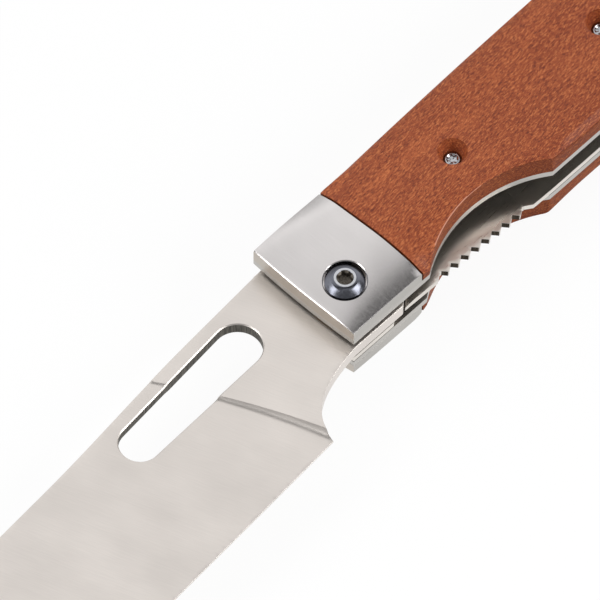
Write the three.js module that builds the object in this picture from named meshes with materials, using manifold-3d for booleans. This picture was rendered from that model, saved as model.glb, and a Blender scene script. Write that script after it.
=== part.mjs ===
// A large folding knife with a liner lock, shown open. Millimetres.
// The origin is the pivot axis on the surface that the knife lies on: +X runs to the butt of the
// handle, +Y to the spine and +Z out of the front side. The blade points to -X with its edge to -Y.

import * as THREE from 'three';
import { mergeVertices } from 'three/addons/utils/BufferGeometryUtils.js';
import Module from 'manifold-3d';

const wasm = await Module();
wasm.setup();

const deg = THREE.MathUtils.degToRad;

// Layers, from the back cover up
const COVER_T = 5.2; // wood cover, at its thickest
const LINER_T = 1.5; // front liner, back liner and lock plate
const SLOT_T = 4.7; // space between the lock plate and the front liner
const BLADE_T = 3.0;
const BACK_WASHER_T = 0.95;
const WASHER_PLAY = 0.05; // between a washer and the blade

const BACK_LINER_Z = COVER_T;
const LOCK_PLATE_Z = BACK_LINER_Z + LINER_T;
const SLOT_Z = LOCK_PLATE_Z + LINER_T;
const BLADE_Z = SLOT_Z + BACK_WASHER_T;
const FRONT_LINER_Z = SLOT_Z + SLOT_T;
const FRONT_COVER_Z = FRONT_LINER_Z + LINER_T;
const TOP_Z = FRONT_COVER_Z + COVER_T;

const CLEARANCE = 0.3; // round a pin, screw or barrel in its hole
const PIN_CLEARANCE = 0.25; // round a liner pin

// Handle outline
const FRONT_X = -6.95; // corners of the front end of the bolsters and plates
const FRONT_BOW = 0.4; // the front end bows out this far between them
const BOLSTER_L = 18.75; // level with the pivot
const JOINT_LEAN = 2.6; // the joint between bolster and cover leans back towards the belly
const JOINT_GAP = 0.2;
const BUTT_X = 134;
const BUTT_Y = 4; // height of the rearmost point
const SPINE_FRONT_Y = 18.05;
const SPINE_JOINT_Y = 17.6;
const SPINE_BOW_X = 60;
const SPINE_BOW_Y = 19.9;
const SPINE_REAR_Y = 19.3;
const BELLY_FRONT_Y = -9.07;
const BELLY_REAR_Y = -9.85;
const BUTT_CURVE_X = 108; // where the butt's curve starts at the spine
const BUTT_CURVE_END_X = 112; // and where it ends at the belly
const BUTT_SPINE_LEAD = 14; // the curve starts out along the spine for about this far
const BUTT_SPINE_DROP = 0.2; // and drops this much there
const BUTT_BELLY_LEAD = 12;
const BUTT_CORNER = 5; // the less this is, the squarer the butt's two corners are

// Arc cut-out at the belly, where the thumb reaches the lock bar
const ARC_R = 29.6;
const ARC_LEAD = 2.6; // from the bolster to the front end of the cut-out
const ARC_APEX_Y = -4.1;
const BACK_ARC_SHIFT = -0.75; // the back side's cut-out lies this far along

// Crowned outer surface of the covers and bolsters
const SPINE_CROWN_W = 6.5; // width of the fall to the spine
const SPINE_CROWN = 1.2;
const FRONT_CROWN_W = 15; // width of the fall to the belly, over the bolsters
const FRONT_CROWN = 2.5;
const BELLY_CROWN_W = 6.5; // and behind the cut-out
const BELLY_CROWN = 0.3;
const FRONT_FALL = 1.9;
const FRONT_FALL_L = 25;
const BUTT_FALL = 1.6;
const BUTT_FALL_L = 22;
const CORNER_FALL = 1.6; // of the corner at the front end of the cut-out
const CORNER_FALL_W = 4;
const BELLY_ROUND_R = 2.0; // rounded belly edge behind the cut-out
const BELLY_ROUND_LEAD = 8; // it starts this far before the cut-out ends
const BELLY_ROUND_L = 18;
const SPINE_ROUND_R = 0.8;
const SPINE_ROUND_L = 8;

// Blade, in its own axes: x along its spine, turned by BLADE_TILT about the pivot
const BLADE_TILT = 3.7;
const BLADE_SPINE_Y = 16.7;
const BLADE_SPINE_DROP = 1.1; // the spine lies this much lower in front of the opening
const SPINE_DROP_START_X = -28;
const SPINE_DROP_END_X = -72;
const BLADE_EDGE_Y = -19.1;
const HEEL_X = -26.1;
const NOSE_X = -90; // where the spine starts to fall to the tip
const TIP_X = -118;
const TIP_Y = -16.8;
const EDGE_HALF_T = 0.2;
const PLUNGE_SPINE_X = -40;
const PLUNGE_BOW = 1.3;
const PLUNGE_DEPTH = 0.15; // step down to the grind at the spine
const CHOIL_X = -7.3;
const CHOIL_Y = -8.95;

// Where the curves of the blade's outline head, from the point that each starts or ends at
const NOSE_LEAD = { x: -15, y: 0 };
const TIP_TOP_LEAD = { x: 3, y: 19.8 };
const TIP_EDGE_LEAD = { x: 10, y: -2.3 };
const EDGE_LEAD = { x: -61.9, y: 0 };
const HEEL_LEAD = { x: 1.5, y: 6.6 };
const CHOIL_LEAD = { x: -11.8, y: -0.65 };

// Oblong thumb opening in the blade, wider at the handle end
const OPENING_REAR = { x: -22, y: 8.8, r: 5.05 };
const OPENING_FRONT = { x: -51, y: 9.05, r: 4.25 };

// Tang and stop pin
const TANG_R = 11.44;
const TANG_BELLY_Y = -9.4;
const TANG_TOP_X = 4;
const STOP_PIN_R = 1.75;
const STOP_PIN_GAP = 0.81; // between the tang's round and the stop pin
const STOP_PIN_REACH = TANG_R + STOP_PIN_GAP + STOP_PIN_R;
const STOP_PIN_ANGLE = 41.5;
const STOP_FACE_PAST = 1.2; // the face that meets the stop pin runs this far past its axis
const STOP_GAP = 0.3;

// Pivot
const BARREL_R = 2.5;
const BARREL_BORE_R = 1.4;
const PIVOT_HEAD_R = 4.05;
const PIVOT_RECESS_R = 4.34;
const PIVOT_RECESS_FLOOR = 2.6; // height of the recess floor over the bolster's inner face
const PIVOT_RIM_H = 1.2; // straight side of the domed head
const PIVOT_FLAT_R = 2.05;
const PIVOT_SCREW_R = 1.1;
const PIVOT_SCREW_REACH = 5; // depth of the screw in the barrel
const PIVOT_SOCKET_R = 1.68;
const PIVOT_SOCKET_DEPTH = 1.3;
const WASHER_MARGIN = 4.94; // from the washers' edge to the tang's

// Cover screws
const COVER_SCREW_X = 35.7; // the first one
const COVER_SCREW_PITCH = 42;
const COVER_SCREW_COUNT = 3;
const COVER_SCREW_Y = 5.2;
const COVER_SCREW_R = 1.0;
const COVER_SCREW_HEAD_R = 1.55;
const COVER_SCREW_HEAD_T = 1.0;
const COVER_SCREW_SINK = 2.7; // depth of the head's top below the cover's surface
const COVER_HOLE_MOUTH_R = 3.0;
const COVER_SOCKET_R = 1.2;
const COVER_SOCKET_DEPTH = 0.6;

// Lock bar, cut from the lock plate and sprung up behind the tang
const BAR_T = 1.4;
const BAR_UNDER_GAP = 0.05; // under the bar when it lies flush
const BAR_END_GAP = 0.3; // between the tang and the bar's end
const BAR_ROOT_LEAD = 2.26; // from the last tooth to the bar's root
const BAR_ROOT_GAP = 0.3;
const BAR_INNER_Y = -2;
const BAR_SLIT = 0.8;
const BAR_LIFT = 2.15; // rise of the bar's free end over its flush place
const BAR_WINDOW_LEAD = 2.76; // at the belly, the cut round the bar starts this far before its end
const BAR_CHAMFER_L = 2.4;
const BAR_CHAMFER_H = 0.35;
const JIMP_LEAD = 2.3; // from the front end of the cut-out to the bar's teeth
const JIMP_TOOTH_LEAD = 2.8; // and on to the tip of the first tooth
const JIMP_PITCH = 2.82;
const JIMP_TEETH = 8;
const JIMP_DEPTH = 1.05;
const JIMP_FLANK = 0.85; // run of a tooth's steep side
const JIMP_TIP_W = 0.25;
const JIMP_RAMP = 1.6; // run of a tooth's gentle side
const BALL_R = 0.8;
const BALL_SEAT_CLEARANCE = 0.2;
const BALL_PROUD = 0.25;
const BALL_INSET = 2.76; // from the bar's end
const BALL_ANGLE = -25;

// Backspacer and the pins through it
const SPACER_W = 3.2;
const SPACER_START_X = 14;
const LINER_PIN_R = 0.75;

// Number of straight pieces in a full turn
const FINE = 36;
const COARSE = 20;

// Degrees
const HALF_TURN = 180;
const QUARTER_TURN = 90;

// Solids

function toSolid(geometry) {
  const bare = geometry.index ? geometry.clone() : geometry;
  bare.deleteAttribute('normal');
  bare.deleteAttribute('uv');
  const merged = mergeVertices(bare, 1e-5);
  return new wasm.Manifold(new wasm.Mesh({
    numProp: 3,
    vertProperties: new Float32Array(merged.attributes.position.array),
    triVerts: new Uint32Array(merged.index.array),
  }));
}

function toGeometry(solid) {
  const { numProp, vertProperties, triVerts } = solid.getMesh();
  const position = new Float32Array((vertProperties.length / numProp) * 3);
  for (let i = 0; i * numProp < vertProperties.length; i += 1) {
    position.set(vertProperties.subarray(i * numProp, i * numProp + 3), i * 3);
  }
  const geometry = new THREE.BufferGeometry();
  geometry.setAttribute('position', new THREE.BufferAttribute(position, 3));
  geometry.setIndex(new THREE.BufferAttribute(new Uint32Array(triVerts), 1));
  return geometry;
}

function slab(shape, z, thickness) {
  const geometry = new THREE.ExtrudeGeometry(shape, { depth: thickness, bevelEnabled: false });
  return toSolid(geometry.translate(0, 0, z));
}

// A profile of [radius, height] points, from the bottom of the axis to its top, turned about +Z.
function turned(profile, x = 0, y = 0, segments = FINE) {
  const points = profile.map(([r, z]) => new THREE.Vector2(r, z));
  const geometry = new THREE.LatheGeometry(points, segments).rotateX(Math.PI / 2);
  return toSolid(geometry.translate(x, y, 0));
}

function rod(x, y, r, z, length, segments = COARSE) {
  return turned([[0, z], [r, z], [r, z + length], [0, z + length]], x, y, segments);
}

function cut(solid, ...tools) {
  return tools.reduce((rest, tool) => rest.subtract(tool), solid);
}

function polygon(points) {
  return new THREE.Shape(points.map(([x, y]) => new THREE.Vector2(x, y)));
}

function polar(r, angle) {
  return [r * Math.cos(deg(angle)), r * Math.sin(deg(angle))];
}

// Handle outline

const jointX = FRONT_X + BOLSTER_L;

// The slanting end of a bolster or a cover, from the spine to the belly. Its place level with
// the pivot is x.
function jointEnd(x) {
  return [SPINE_JOINT_Y, BELLY_FRONT_Y].map((y) => [x - y * Math.tan(deg(JOINT_LEAN)), y]);
}

// The bowed front end of the bolsters and plates, from the spine to the belly
const FRONT_STEPS = 6;
const frontEnd = Array.from({ length: FRONT_STEPS + 1 }, (_, i) => {
  const t = i / FRONT_STEPS;
  return [
    FRONT_X - FRONT_BOW * 4 * t * (1 - t),
    THREE.MathUtils.lerp(SPINE_FRONT_Y, BELLY_FRONT_Y, t),
  ];
});

const spineCurve = new THREE.QuadraticBezierCurve(
  new THREE.Vector2(...jointEnd(jointX)[0]),
  new THREE.Vector2(SPINE_BOW_X, SPINE_BOW_Y),
  new THREE.Vector2(BUTT_CURVE_X, SPINE_REAR_Y),
);
const buttTop = new THREE.CubicBezierCurve(
  spineCurve.v2,
  new THREE.Vector2(BUTT_CURVE_X + BUTT_SPINE_LEAD, SPINE_REAR_Y - BUTT_SPINE_DROP),
  new THREE.Vector2(BUTT_X, SPINE_REAR_Y - BUTT_CORNER),
  new THREE.Vector2(BUTT_X, BUTT_Y),
);
const buttBottom = new THREE.CubicBezierCurve(
  buttTop.v3,
  new THREE.Vector2(BUTT_X, BELLY_REAR_Y + BUTT_CORNER),
  new THREE.Vector2(BUTT_CURVE_END_X + BUTT_BELLY_LEAD, BELLY_REAR_Y),
  new THREE.Vector2(BUTT_CURVE_END_X, BELLY_REAR_Y),
);
const spinePoints = spineCurve.getPoints(16);
const buttPoints = [...buttTop.getPoints(10).slice(1), ...buttBottom.getPoints(10).slice(1)];

function spineY(x) {
  const joint = spineCurve.v0;
  if (x <= joint.x) {
    const along = Math.max(x, FRONT_X);
    return THREE.MathUtils.mapLinear(along, FRONT_X, joint.x, SPINE_FRONT_Y, joint.y);
  }
  if (x >= BUTT_CURVE_X) return SPINE_REAR_Y;
  const i = spinePoints.findIndex((p) => p.x > x);
  const [a, b] = [spinePoints[i - 1], spinePoints[i]];
  return THREE.MathUtils.mapLinear(x, a.x, b.x, a.y, b.y);
}

const arcCentreY = ARC_APEX_Y - ARC_R;

function arcHalfWidth(y) {
  return Math.sqrt(ARC_R ** 2 - (y - arcCentreY) ** 2);
}

const arcFrontX = jointX + ARC_LEAD;
const arcX = arcFrontX + arcHalfWidth(BELLY_FRONT_Y);
const arcEndX = arcX + arcHalfWidth(BELLY_REAR_Y);

// Belly edge with the cut-out
function cutOutBelly(arcShift, steps = 18) {
  const from = Math.atan2(BELLY_FRONT_Y - arcCentreY, -arcHalfWidth(BELLY_FRONT_Y));
  const to = Math.atan2(BELLY_REAR_Y - arcCentreY, arcHalfWidth(BELLY_REAR_Y));
  return Array.from({ length: steps + 1 }, (_, i) => {
    const angle = THREE.MathUtils.lerp(from, to, i / steps);
    return [arcX + arcShift + ARC_R * Math.cos(angle), arcCentreY + ARC_R * Math.sin(angle)];
  });
}

// Belly edge of the lock plate, which has no cut-out
const jimpStartX = arcFrontX + JIMP_LEAD;
const plainBelly = [[jimpStartX, BELLY_FRONT_Y], [arcEndX, BELLY_REAR_Y]];

function plainBellyY(x) {
  const [[fromX, fromY], [toX, toY]] = plainBelly;
  return THREE.MathUtils.mapLinear(THREE.MathUtils.clamp(x, fromX, toX), fromX, toX, fromY, toY);
}

function handleOutline(end, belly) {
  const [[spineX]] = end;
  const pair = (p) => [p.x, p.y];
  return polygon([
    ...end,
    ...belly,
    ...buttPoints.map(pair).reverse(),
    ...spinePoints.map(pair).reverse().filter(([x]) => x > spineX),
  ]);
}

// Crowned covers

function fall(distance, width, depth) {
  const left = THREE.MathUtils.clamp(1 - distance / width, 0, 1);
  return depth * left ** 2;
}

// Drop of a rounded edge of this radius, at this distance in from the edge
function roundedEdge(inset, radius) {
  const left = THREE.MathUtils.clamp(radius - inset, 0, radius);
  return radius - Math.sqrt(radius ** 2 - left ** 2);
}

function grown(x, startX, length) {
  return THREE.MathUtils.smoothstep(x, startX, startX + length);
}

function bellyRound(x, arcShift) {
  return BELLY_ROUND_R * grown(x, arcEndX + arcShift - BELLY_ROUND_LEAD, BELLY_ROUND_L);
}

function spineRound(x) {
  return SPINE_ROUND_R * grown(x, jointX, SPINE_ROUND_L);
}

function coverBellyY(x) {
  return x < arcX ? BELLY_FRONT_Y : BELLY_REAR_Y;
}

// Width and depth of the crown's fall to the belly: it is wide over the bolsters
function bellyCrown(x) {
  const t = grown(x, jointX, arcEndX - jointX);
  return [
    THREE.MathUtils.lerp(FRONT_CROWN_W, BELLY_CROWN_W, t),
    THREE.MathUtils.lerp(FRONT_CROWN, BELLY_CROWN, t),
  ];
}

function coverHeight(x, y, arcShift) {
  const fromBelly = Math.max(y - coverBellyY(x), 0);
  const fromSpine = Math.max(spineY(x) - y, 0);
  const front = fall(x - FRONT_X, FRONT_FALL_L, FRONT_FALL);
  const butt = fall(BUTT_X - x, BUTT_FALL_L, BUTT_FALL);
  const crown = fall(fromBelly, ...bellyCrown(x)) + fall(fromSpine, SPINE_CROWN_W, SPINE_CROWN);
  const fromCorner = Math.hypot(x - arcFrontX - arcShift, fromBelly);
  const corner = fall(fromCorner, CORNER_FALL_W, CORNER_FALL);
  const round = fromBelly < fromSpine
    ? roundedEdge(fromBelly, bellyRound(x, arcShift))
    : roundedEdge(fromSpine, spineRound(x));
  return COVER_T - Math.cbrt(front ** 3 + crown ** 3) - butt - corner - round;
}

// The crowned surface is a grid: its columns stand closer where the surface bends more.
const GRID_MARGIN = 1;

function coverColumns(arcShift) {
  const cornerX = arcFrontX + arcShift;
  const roundX = arcEndX + arcShift - BELLY_ROUND_LEAD;
  const buttX = BUTT_X - BUTT_FALL_L;
  const stretches = [
    [FRONT_X, cornerX - CORNER_FALL_W, 4],
    [cornerX - CORNER_FALL_W, cornerX + CORNER_FALL_W, 6],
    [cornerX + CORNER_FALL_W, roundX, 4],
    [roundX, roundX + BELLY_ROUND_L, 4],
    [roundX + BELLY_ROUND_L, buttX, 3],
    [buttX, BUTT_X, 4],
  ];
  const inner = stretches.flatMap(([from, to, steps]) => Array.from(
    { length: steps },
    (_, i) => THREE.MathUtils.lerp(from, to, i / steps),
  ));
  return [FRONT_X - GRID_MARGIN, ...inner, BUTT_X, BUTT_X + GRID_MARGIN];
}

function coverRows(x) {
  const insets = (width) => [-GRID_MARGIN, ...[0, 0.1, 0.22, 0.4, 0.65, 1].map((t) => t * width)];
  return [...insets(bellyCrown(x)[0]).map((d) => coverBellyY(x) + d),
    ...insets(SPINE_CROWN_W).map((d) => spineY(x) - d).reverse()];
}

// A block with a flat floor at height 0 and the crowned surface over it
function crownedBlank(arcShift) {
  const columns = coverColumns(arcShift);
  const rows = coverRows(0).length;
  const top = (i, j) => i * rows + j;
  const floor = (i, side) => columns.length * rows + i * 2 + side;
  const position = [];
  for (const x of columns) {
    for (const y of coverRows(x)) position.push(x, y, coverHeight(x, y, arcShift));
  }
  for (const x of columns) {
    const line = coverRows(x);
    position.push(x, line[0], 0, x, line[rows - 1], 0);
  }

  const index = [];
  const quad = (a, b, c, d) => index.push(a, b, c, a, c, d);
  const last = rows - 1;
  for (let i = 0; i + 1 < columns.length; i += 1) {
    for (let j = 0; j < last; j += 1) {
      quad(top(i, j), top(i + 1, j), top(i + 1, j + 1), top(i, j + 1));
    }
    quad(floor(i, 0), floor(i, 1), floor(i + 1, 1), floor(i + 1, 0));
    quad(floor(i, 0), floor(i + 1, 0), top(i + 1, 0), top(i, 0));
    quad(floor(i + 1, 1), floor(i, 1), top(i, last), top(i + 1, last));
  }
  const end = columns.length - 1;
  index.push(floor(0, 1), floor(0, 0), top(0, 0));
  index.push(floor(end, 0), floor(end, 1), top(end, last));
  for (let j = 0; j < last; j += 1) {
    index.push(floor(0, 1), top(0, j), top(0, j + 1));
    index.push(floor(end, 0), top(end, j + 1), top(end, j));
  }

  const geometry = new THREE.BufferGeometry();
  geometry.setAttribute('position', new THREE.Float32BufferAttribute(position, 3));
  geometry.setIndex(index);
  return toSolid(geometry);
}

const frontBlank = crownedBlank(0);
const backBlank = crownedBlank(BACK_ARC_SHIFT);

// Cover screws sit in these places, in the front and the back cover alike
const coverScrewPlaces = Array.from(
  { length: COVER_SCREW_COUNT },
  (_, i) => [COVER_SCREW_X + i * COVER_SCREW_PITCH, COVER_SCREW_Y],
);
const screwHeadTop = COVER_T - COVER_SCREW_SINK;
const screwHeadFloor = screwHeadTop - COVER_SCREW_HEAD_T;
const screwHoleR = COVER_SCREW_R + CLEARANCE;

function coverScrewHole([x, y]) {
  const below = -1;
  const above = COVER_T + 1;
  const headHoleR = COVER_SCREW_HEAD_R + CLEARANCE;
  const mouthSlope = (COVER_HOLE_MOUTH_R - headHoleR) / COVER_SCREW_SINK;
  return turned([
    [0, below],
    [screwHoleR, below],
    [screwHoleR, screwHeadFloor],
    [headHoleR, screwHeadFloor],
    [headHoleR, screwHeadTop],
    [COVER_HOLE_MOUTH_R + mouthSlope, above],
    [0, above],
  ], x, y, COARSE);
}

function makeCover(blank, arcShift) {
  const outline = handleOutline(jointEnd(jointX + JOINT_GAP), cutOutBelly(arcShift));
  const body = blank.intersect(slab(outline, -1, COVER_T + 2));
  return toGeometry(cut(body, ...coverScrewPlaces.map(coverScrewHole)));
}

function makeBolster(blank) {
  const outline = polygon([...frontEnd, ...jointEnd(jointX).reverse()]);
  return toGeometry(cut(
    blank.intersect(slab(outline, -1, COVER_T + 2)),
    rod(0, 0, PIVOT_RECESS_R, PIVOT_RECESS_FLOOR, COVER_T, FINE),
    rod(0, 0, BARREL_R + CLEARANCE, -1, COVER_T + 2, FINE),
  ));
}

// The back side's copy of a piece whose floor is at height 0 and whose crown points up: it is
// mirrored to point down, with its triangles turned round.
function mirrored(geometry) {
  const copy = geometry.clone().scale(1, 1, -1);
  const index = copy.index.array;
  for (let i = 0; i < index.length; i += 3) {
    [index[i + 1], index[i + 2]] = [index[i + 2], index[i + 1]];
  }
  return copy;
}

// Flat plates

const stopPinPlace = polar(STOP_PIN_REACH, STOP_PIN_ANGLE);

// A point of the spine or of the butt, moved in by this far
function movedIn(curve, t, inset) {
  const at = curve.getPoint(t);
  const along = curve.getTangent(t);
  return [at.x + along.y * inset, at.y - along.x * inset];
}

function spacerLine(inset) {
  const steps = 12;
  const shares = Array.from({ length: steps }, (_, i) => (i + 1) / steps);
  return [spineCurve, buttTop]
    .flatMap((curve) => shares.map((t) => movedIn(curve, t, inset)))
    .filter(([x]) => x > SPACER_START_X);
}

const linerPinPlaces = [[spineCurve, 0.12], [spineCurve, 0.45], [spineCurve, 0.8], [buttTop, 0.6]]
  .map(([curve, t]) => movedIn(curve, t, SPACER_W / 2));

function plateHoles(z) {
  const through = (x, y, r) => rod(x, y, r, z - 1, LINER_T + 2);
  return [
    through(0, 0, BARREL_R + CLEARANCE),
    through(...stopPinPlace, STOP_PIN_R + CLEARANCE),
    ...coverScrewPlaces.map(([x, y]) => through(x, y, screwHoleR)),
    ...linerPinPlaces.map(([x, y]) => through(x, y, LINER_PIN_R + PIN_CLEARANCE)),
  ];
}

function makeLiner(z, arcShift) {
  const outline = handleOutline(frontEnd, cutOutBelly(arcShift));
  return cut(slab(outline, z, LINER_T), ...plateHoles(z));
}

function polarArc(r, from, to, steps) {
  return Array.from({ length: steps + 1 }, (_, i) => polar(r, from + ((to - from) * i) / steps));
}

function angleAt(r, y) {
  return THREE.MathUtils.radToDeg(Math.asin(y / r));
}

const firstToothX = jimpStartX + JIMP_TOOTH_LEAD;
const barRootX = firstToothX + (JIMP_TEETH - 1) * JIMP_PITCH + BAR_ROOT_LEAD;
const tangBellyX = Math.sqrt(TANG_R ** 2 - BELLY_FRONT_Y ** 2);
const windowR = Math.hypot(tangBellyX - BAR_WINDOW_LEAD, BELLY_FRONT_Y);
const windowTopY = BAR_INNER_Y + BAR_SLIT;
const windowEndX = barRootX + JIMP_RAMP;
const outside = BELLY_REAR_Y - 3;
const notchY = (x) => plainBellyY(x) + JIMP_DEPTH;

function makeLockPlate() {
  const window = polygon([
    [windowR * Math.cos(deg(angleAt(windowR, BELLY_FRONT_Y))), outside],
    ...polarArc(windowR, angleAt(windowR, BELLY_FRONT_Y), angleAt(windowR, windowTopY), 8),
    [barRootX, windowTopY],
    [barRootX, notchY(barRootX)],
    [windowEndX, plainBellyY(windowEndX)],
    [windowEndX, outside],
  ]);
  return cut(
    slab(handleOutline(frontEnd, plainBelly), LOCK_PLATE_Z, LINER_T),
    slab(window, LOCK_PLATE_Z - 1, LINER_T + 2),
    ...plateHoles(LOCK_PLATE_Z),
  );
}

function makeBackspacer() {
  const shape = polygon([...spacerLine(SPACER_W), ...spacerLine(0).reverse()]);
  const pinHoles = linerPinPlaces.map(
    ([x, y]) => rod(x, y, LINER_PIN_R + PIN_CLEARANCE, SLOT_Z - 1, SLOT_T + 2),
  );
  return cut(slab(shape, SLOT_Z, SLOT_T), ...pinHoles);
}

// Lock bar, with the hinge line at the origin and the bar along -X, lying flush

const barReach = barRootX - Math.sqrt((TANG_R + BAR_END_GAP) ** 2 - BELLY_FRONT_Y ** 2);
const BAR_ANGLE = THREE.MathUtils.radToDeg(Math.asin(BAR_LIFT / barReach));
const barFloorZ = LOCK_PLATE_Z + BAR_UNDER_GAP;
const barAxisZ = barFloorZ + BAR_T / 2;

function barOutline() {
  const endR = TANG_R + BAR_END_GAP;
  const rootX = barRootX - BAR_ROOT_GAP;
  const points = [
    ...polarArc(endR, angleAt(endR, BELLY_FRONT_Y), angleAt(endR, BAR_INNER_Y), 8),
    [rootX, BAR_INNER_Y],
    [rootX, notchY(rootX)],
  ];
  for (let i = JIMP_TEETH - 1; i >= 0; i -= 1) {
    const tip = firstToothX + i * JIMP_PITCH;
    points.push(
      [tip + JIMP_TIP_W + JIMP_RAMP, notchY(tip)],
      [tip + JIMP_TIP_W, plainBellyY(tip)],
      [tip, plainBellyY(tip)],
      [tip - JIMP_FLANK, notchY(tip)],
    );
  }
  points.push(
    [jimpStartX + JIMP_RAMP, notchY(jimpStartX)],
    [jimpStartX, BELLY_FRONT_Y],
  );
  return polygon(points);
}

function barChamfer() {
  const endX = barRootX - barReach;
  const top = BAR_T;
  const past = 1;
  const rise = (BAR_CHAMFER_H / BAR_CHAMFER_L) * past;
  const side = polygon([
    [endX - past, top - BAR_CHAMFER_H - rise],
    [endX + BAR_CHAMFER_L + past, top + rise],
    [endX - past, top + past],
  ]);
  const width = BAR_INNER_Y - outside;
  const geometry = new THREE.ExtrudeGeometry(side, { depth: width, bevelEnabled: false });
  return toSolid(geometry.rotateX(Math.PI / 2).translate(0, BAR_INNER_Y, 0));
}

const ballPlace = polar(TANG_R + BAR_END_GAP + BALL_INSET, BALL_ANGLE);

function makeLockBar() {
  const bar = cut(
    slab(barOutline(), 0, BAR_T),
    barChamfer(),
    rod(...ballPlace, BALL_R + BALL_SEAT_CLEARANCE, -1, BAR_T + 2),
  );
  return toGeometry(bar).translate(-barRootX, 0, -BAR_T / 2);
}

function makeDetentBall() {
  const ball = new THREE.SphereGeometry(BALL_R, 16, 10);
  const [x, y] = ballPlace;
  return ball.translate(x - barRootX, y, BAR_T / 2 + BALL_PROUD - BALL_R);
}

// Blade

const tilt = deg(BLADE_TILT);

// A point in the blade's own axes, in those of the knife
function tilted(x, y) {
  return [
    x * Math.cos(tilt) - y * Math.sin(tilt),
    x * Math.sin(tilt) + y * Math.cos(tilt),
  ];
}

// Points of a curve that leaves its start and reaches its end along their leads
function curvePoints(start, startLead, endLead, end, steps) {
  const [a, d] = [start, end].map(([x, y]) => new THREE.Vector2(x, y));
  const b = a.clone().add(startLead);
  const c = d.clone().add(endLead);
  return new THREE.CubicBezierCurve(a, b, c, d).getPoints(steps).map((p) => [p.x, p.y]);
}

const stopFaceAngle = STOP_PIN_ANGLE
  + THREE.MathUtils.radToDeg(Math.asin((STOP_PIN_R + STOP_GAP) / STOP_PIN_REACH));

function bladeOutline() {
  const frontSpineY = BLADE_SPINE_Y - BLADE_SPINE_DROP;
  const third = (SPINE_DROP_END_X - SPINE_DROP_START_X) / 3;
  const spine = curvePoints(
    [SPINE_DROP_START_X, BLADE_SPINE_Y],
    { x: third, y: 0 },
    { x: -third, y: 0 },
    [SPINE_DROP_END_X, frontSpineY],
    8,
  );
  const tip = [TIP_X, TIP_Y];
  const heel = [HEEL_X, BLADE_EDGE_Y];
  const nose = curvePoints([NOSE_X, frontSpineY], NOSE_LEAD, TIP_TOP_LEAD, tip, 12);
  const edge = curvePoints(tip, TIP_EDGE_LEAD, EDGE_LEAD, heel, 10);
  const choil = curvePoints(heel, HEEL_LEAD, CHOIL_LEAD, [CHOIL_X, CHOIL_Y], 10);
  const own = [[TANG_TOP_X, BLADE_SPINE_Y], ...spine, ...nose, ...edge.slice(1), ...choil.slice(1)];
  const tangArc = polarArc(TANG_R, angleAt(TANG_R, TANG_BELLY_Y), stopFaceAngle, 16);
  return polygon([
    ...own.map(([x, y]) => tilted(x, y)),
    ...tangArc,
    polar(STOP_PIN_REACH + STOP_FACE_PAST, stopFaceAngle),
  ]);
}

function thumbOpening() {
  const narrowing = (OPENING_REAR.r - OPENING_FRONT.r) / (OPENING_REAR.x - OPENING_FRONT.x);
  const slant = THREE.MathUtils.radToDeg(Math.asin(narrowing));
  const end = ({ x, y, r }, facing, half) => polarArc(r, facing - half, facing + half, 16)
    .map(([u, v]) => tilted(x + u, y + v));
  return polygon([
    ...end(OPENING_REAR, 0, QUARTER_TURN + slant),
    ...end(OPENING_FRONT, HALF_TURN, QUARTER_TURN - slant),
  ]);
}

// What the flat grind takes off the upper half of the blade, in front of the plunge line
function grindCutter() {
  const half = BLADE_T / 2;
  const spineHalf = half - PLUNGE_DEPTH;
  const slope = (spineHalf - EDGE_HALF_T) / (BLADE_SPINE_Y - BLADE_EDGE_Y);
  const past = 3;
  const [high, low] = [BLADE_SPINE_Y + past, BLADE_EDGE_Y - past];
  const section = polygon([
    [high, spineHalf + slope * past],
    [high, half + past],
    [low, half + past],
    [low, EDGE_HALF_T - slope * past],
  ]);
  const length = HEEL_X - TIP_X + past * 8;
  const bar = new THREE.ExtrudeGeometry(section, { depth: length, bevelEnabled: false });
  const turn = new THREE.Matrix4().set(
    0, 0, 1, TIP_X - past,
    1, 0, 0, 0,
    0, 1, 0, 0,
    0, 0, 0, 1,
  );
  const plungeMiddle = [(PLUNGE_SPINE_X + HEEL_X) / 2, (BLADE_SPINE_Y + BLADE_EDGE_Y) / 2];
  const plunge = new THREE.QuadraticBezierCurve(
    new THREE.Vector2(PLUNGE_SPINE_X, BLADE_SPINE_Y),
    new THREE.Vector2(plungeMiddle[0] + 2 * PLUNGE_BOW, plungeMiddle[1]),
    new THREE.Vector2(HEEL_X, BLADE_EDGE_Y),
  );
  const zone = polygon([
    [PLUNGE_SPINE_X, high],
    ...plunge.getPoints(8).map((p) => [p.x, p.y]),
    [HEEL_X, low],
    [TIP_X - past, low],
    [TIP_X - past, high],
  ].reverse());
  const wedge = toSolid(bar.applyMatrix4(turn)).intersect(slab(zone, -half, BLADE_T + past * 2));
  return toGeometry(wedge).rotateZ(tilt);
}

function makeBlade() {
  const wedge = grindCutter();
  const middle = BLADE_Z + BLADE_T / 2;
  return cut(
    slab(bladeOutline(), BLADE_Z, BLADE_T),
    slab(thumbOpening(), BLADE_Z - 1, BLADE_T + 2),
    rod(0, 0, BARREL_R + CLEARANCE, BLADE_Z - 1, BLADE_T + 2, FINE),
    toSolid(wedge.clone().translate(0, 0, middle)),
    toSolid(mirrored(wedge).translate(0, 0, middle)),
  );
}

// Pivot and fasteners

function makeWasher(z, thickness) {
  const ring = rod(0, 0, TANG_R - WASHER_MARGIN, z, thickness, FINE);
  return ring.subtract(rod(0, 0, BARREL_R + CLEARANCE, z - 1, thickness + 2, FINE));
}

// Socket with six rounded lobes
function socket(radius, floor, height) {
  const points = [];
  for (let i = 0; i < COARSE; i += 1) {
    const angle = (i / COARSE) * 360;
    const r = radius * (0.87 + 0.13 * Math.cos(deg(6 * angle)));
    points.push(polar(r, angle));
  }
  return slab(polygon(points), floor, height);
}

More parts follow.
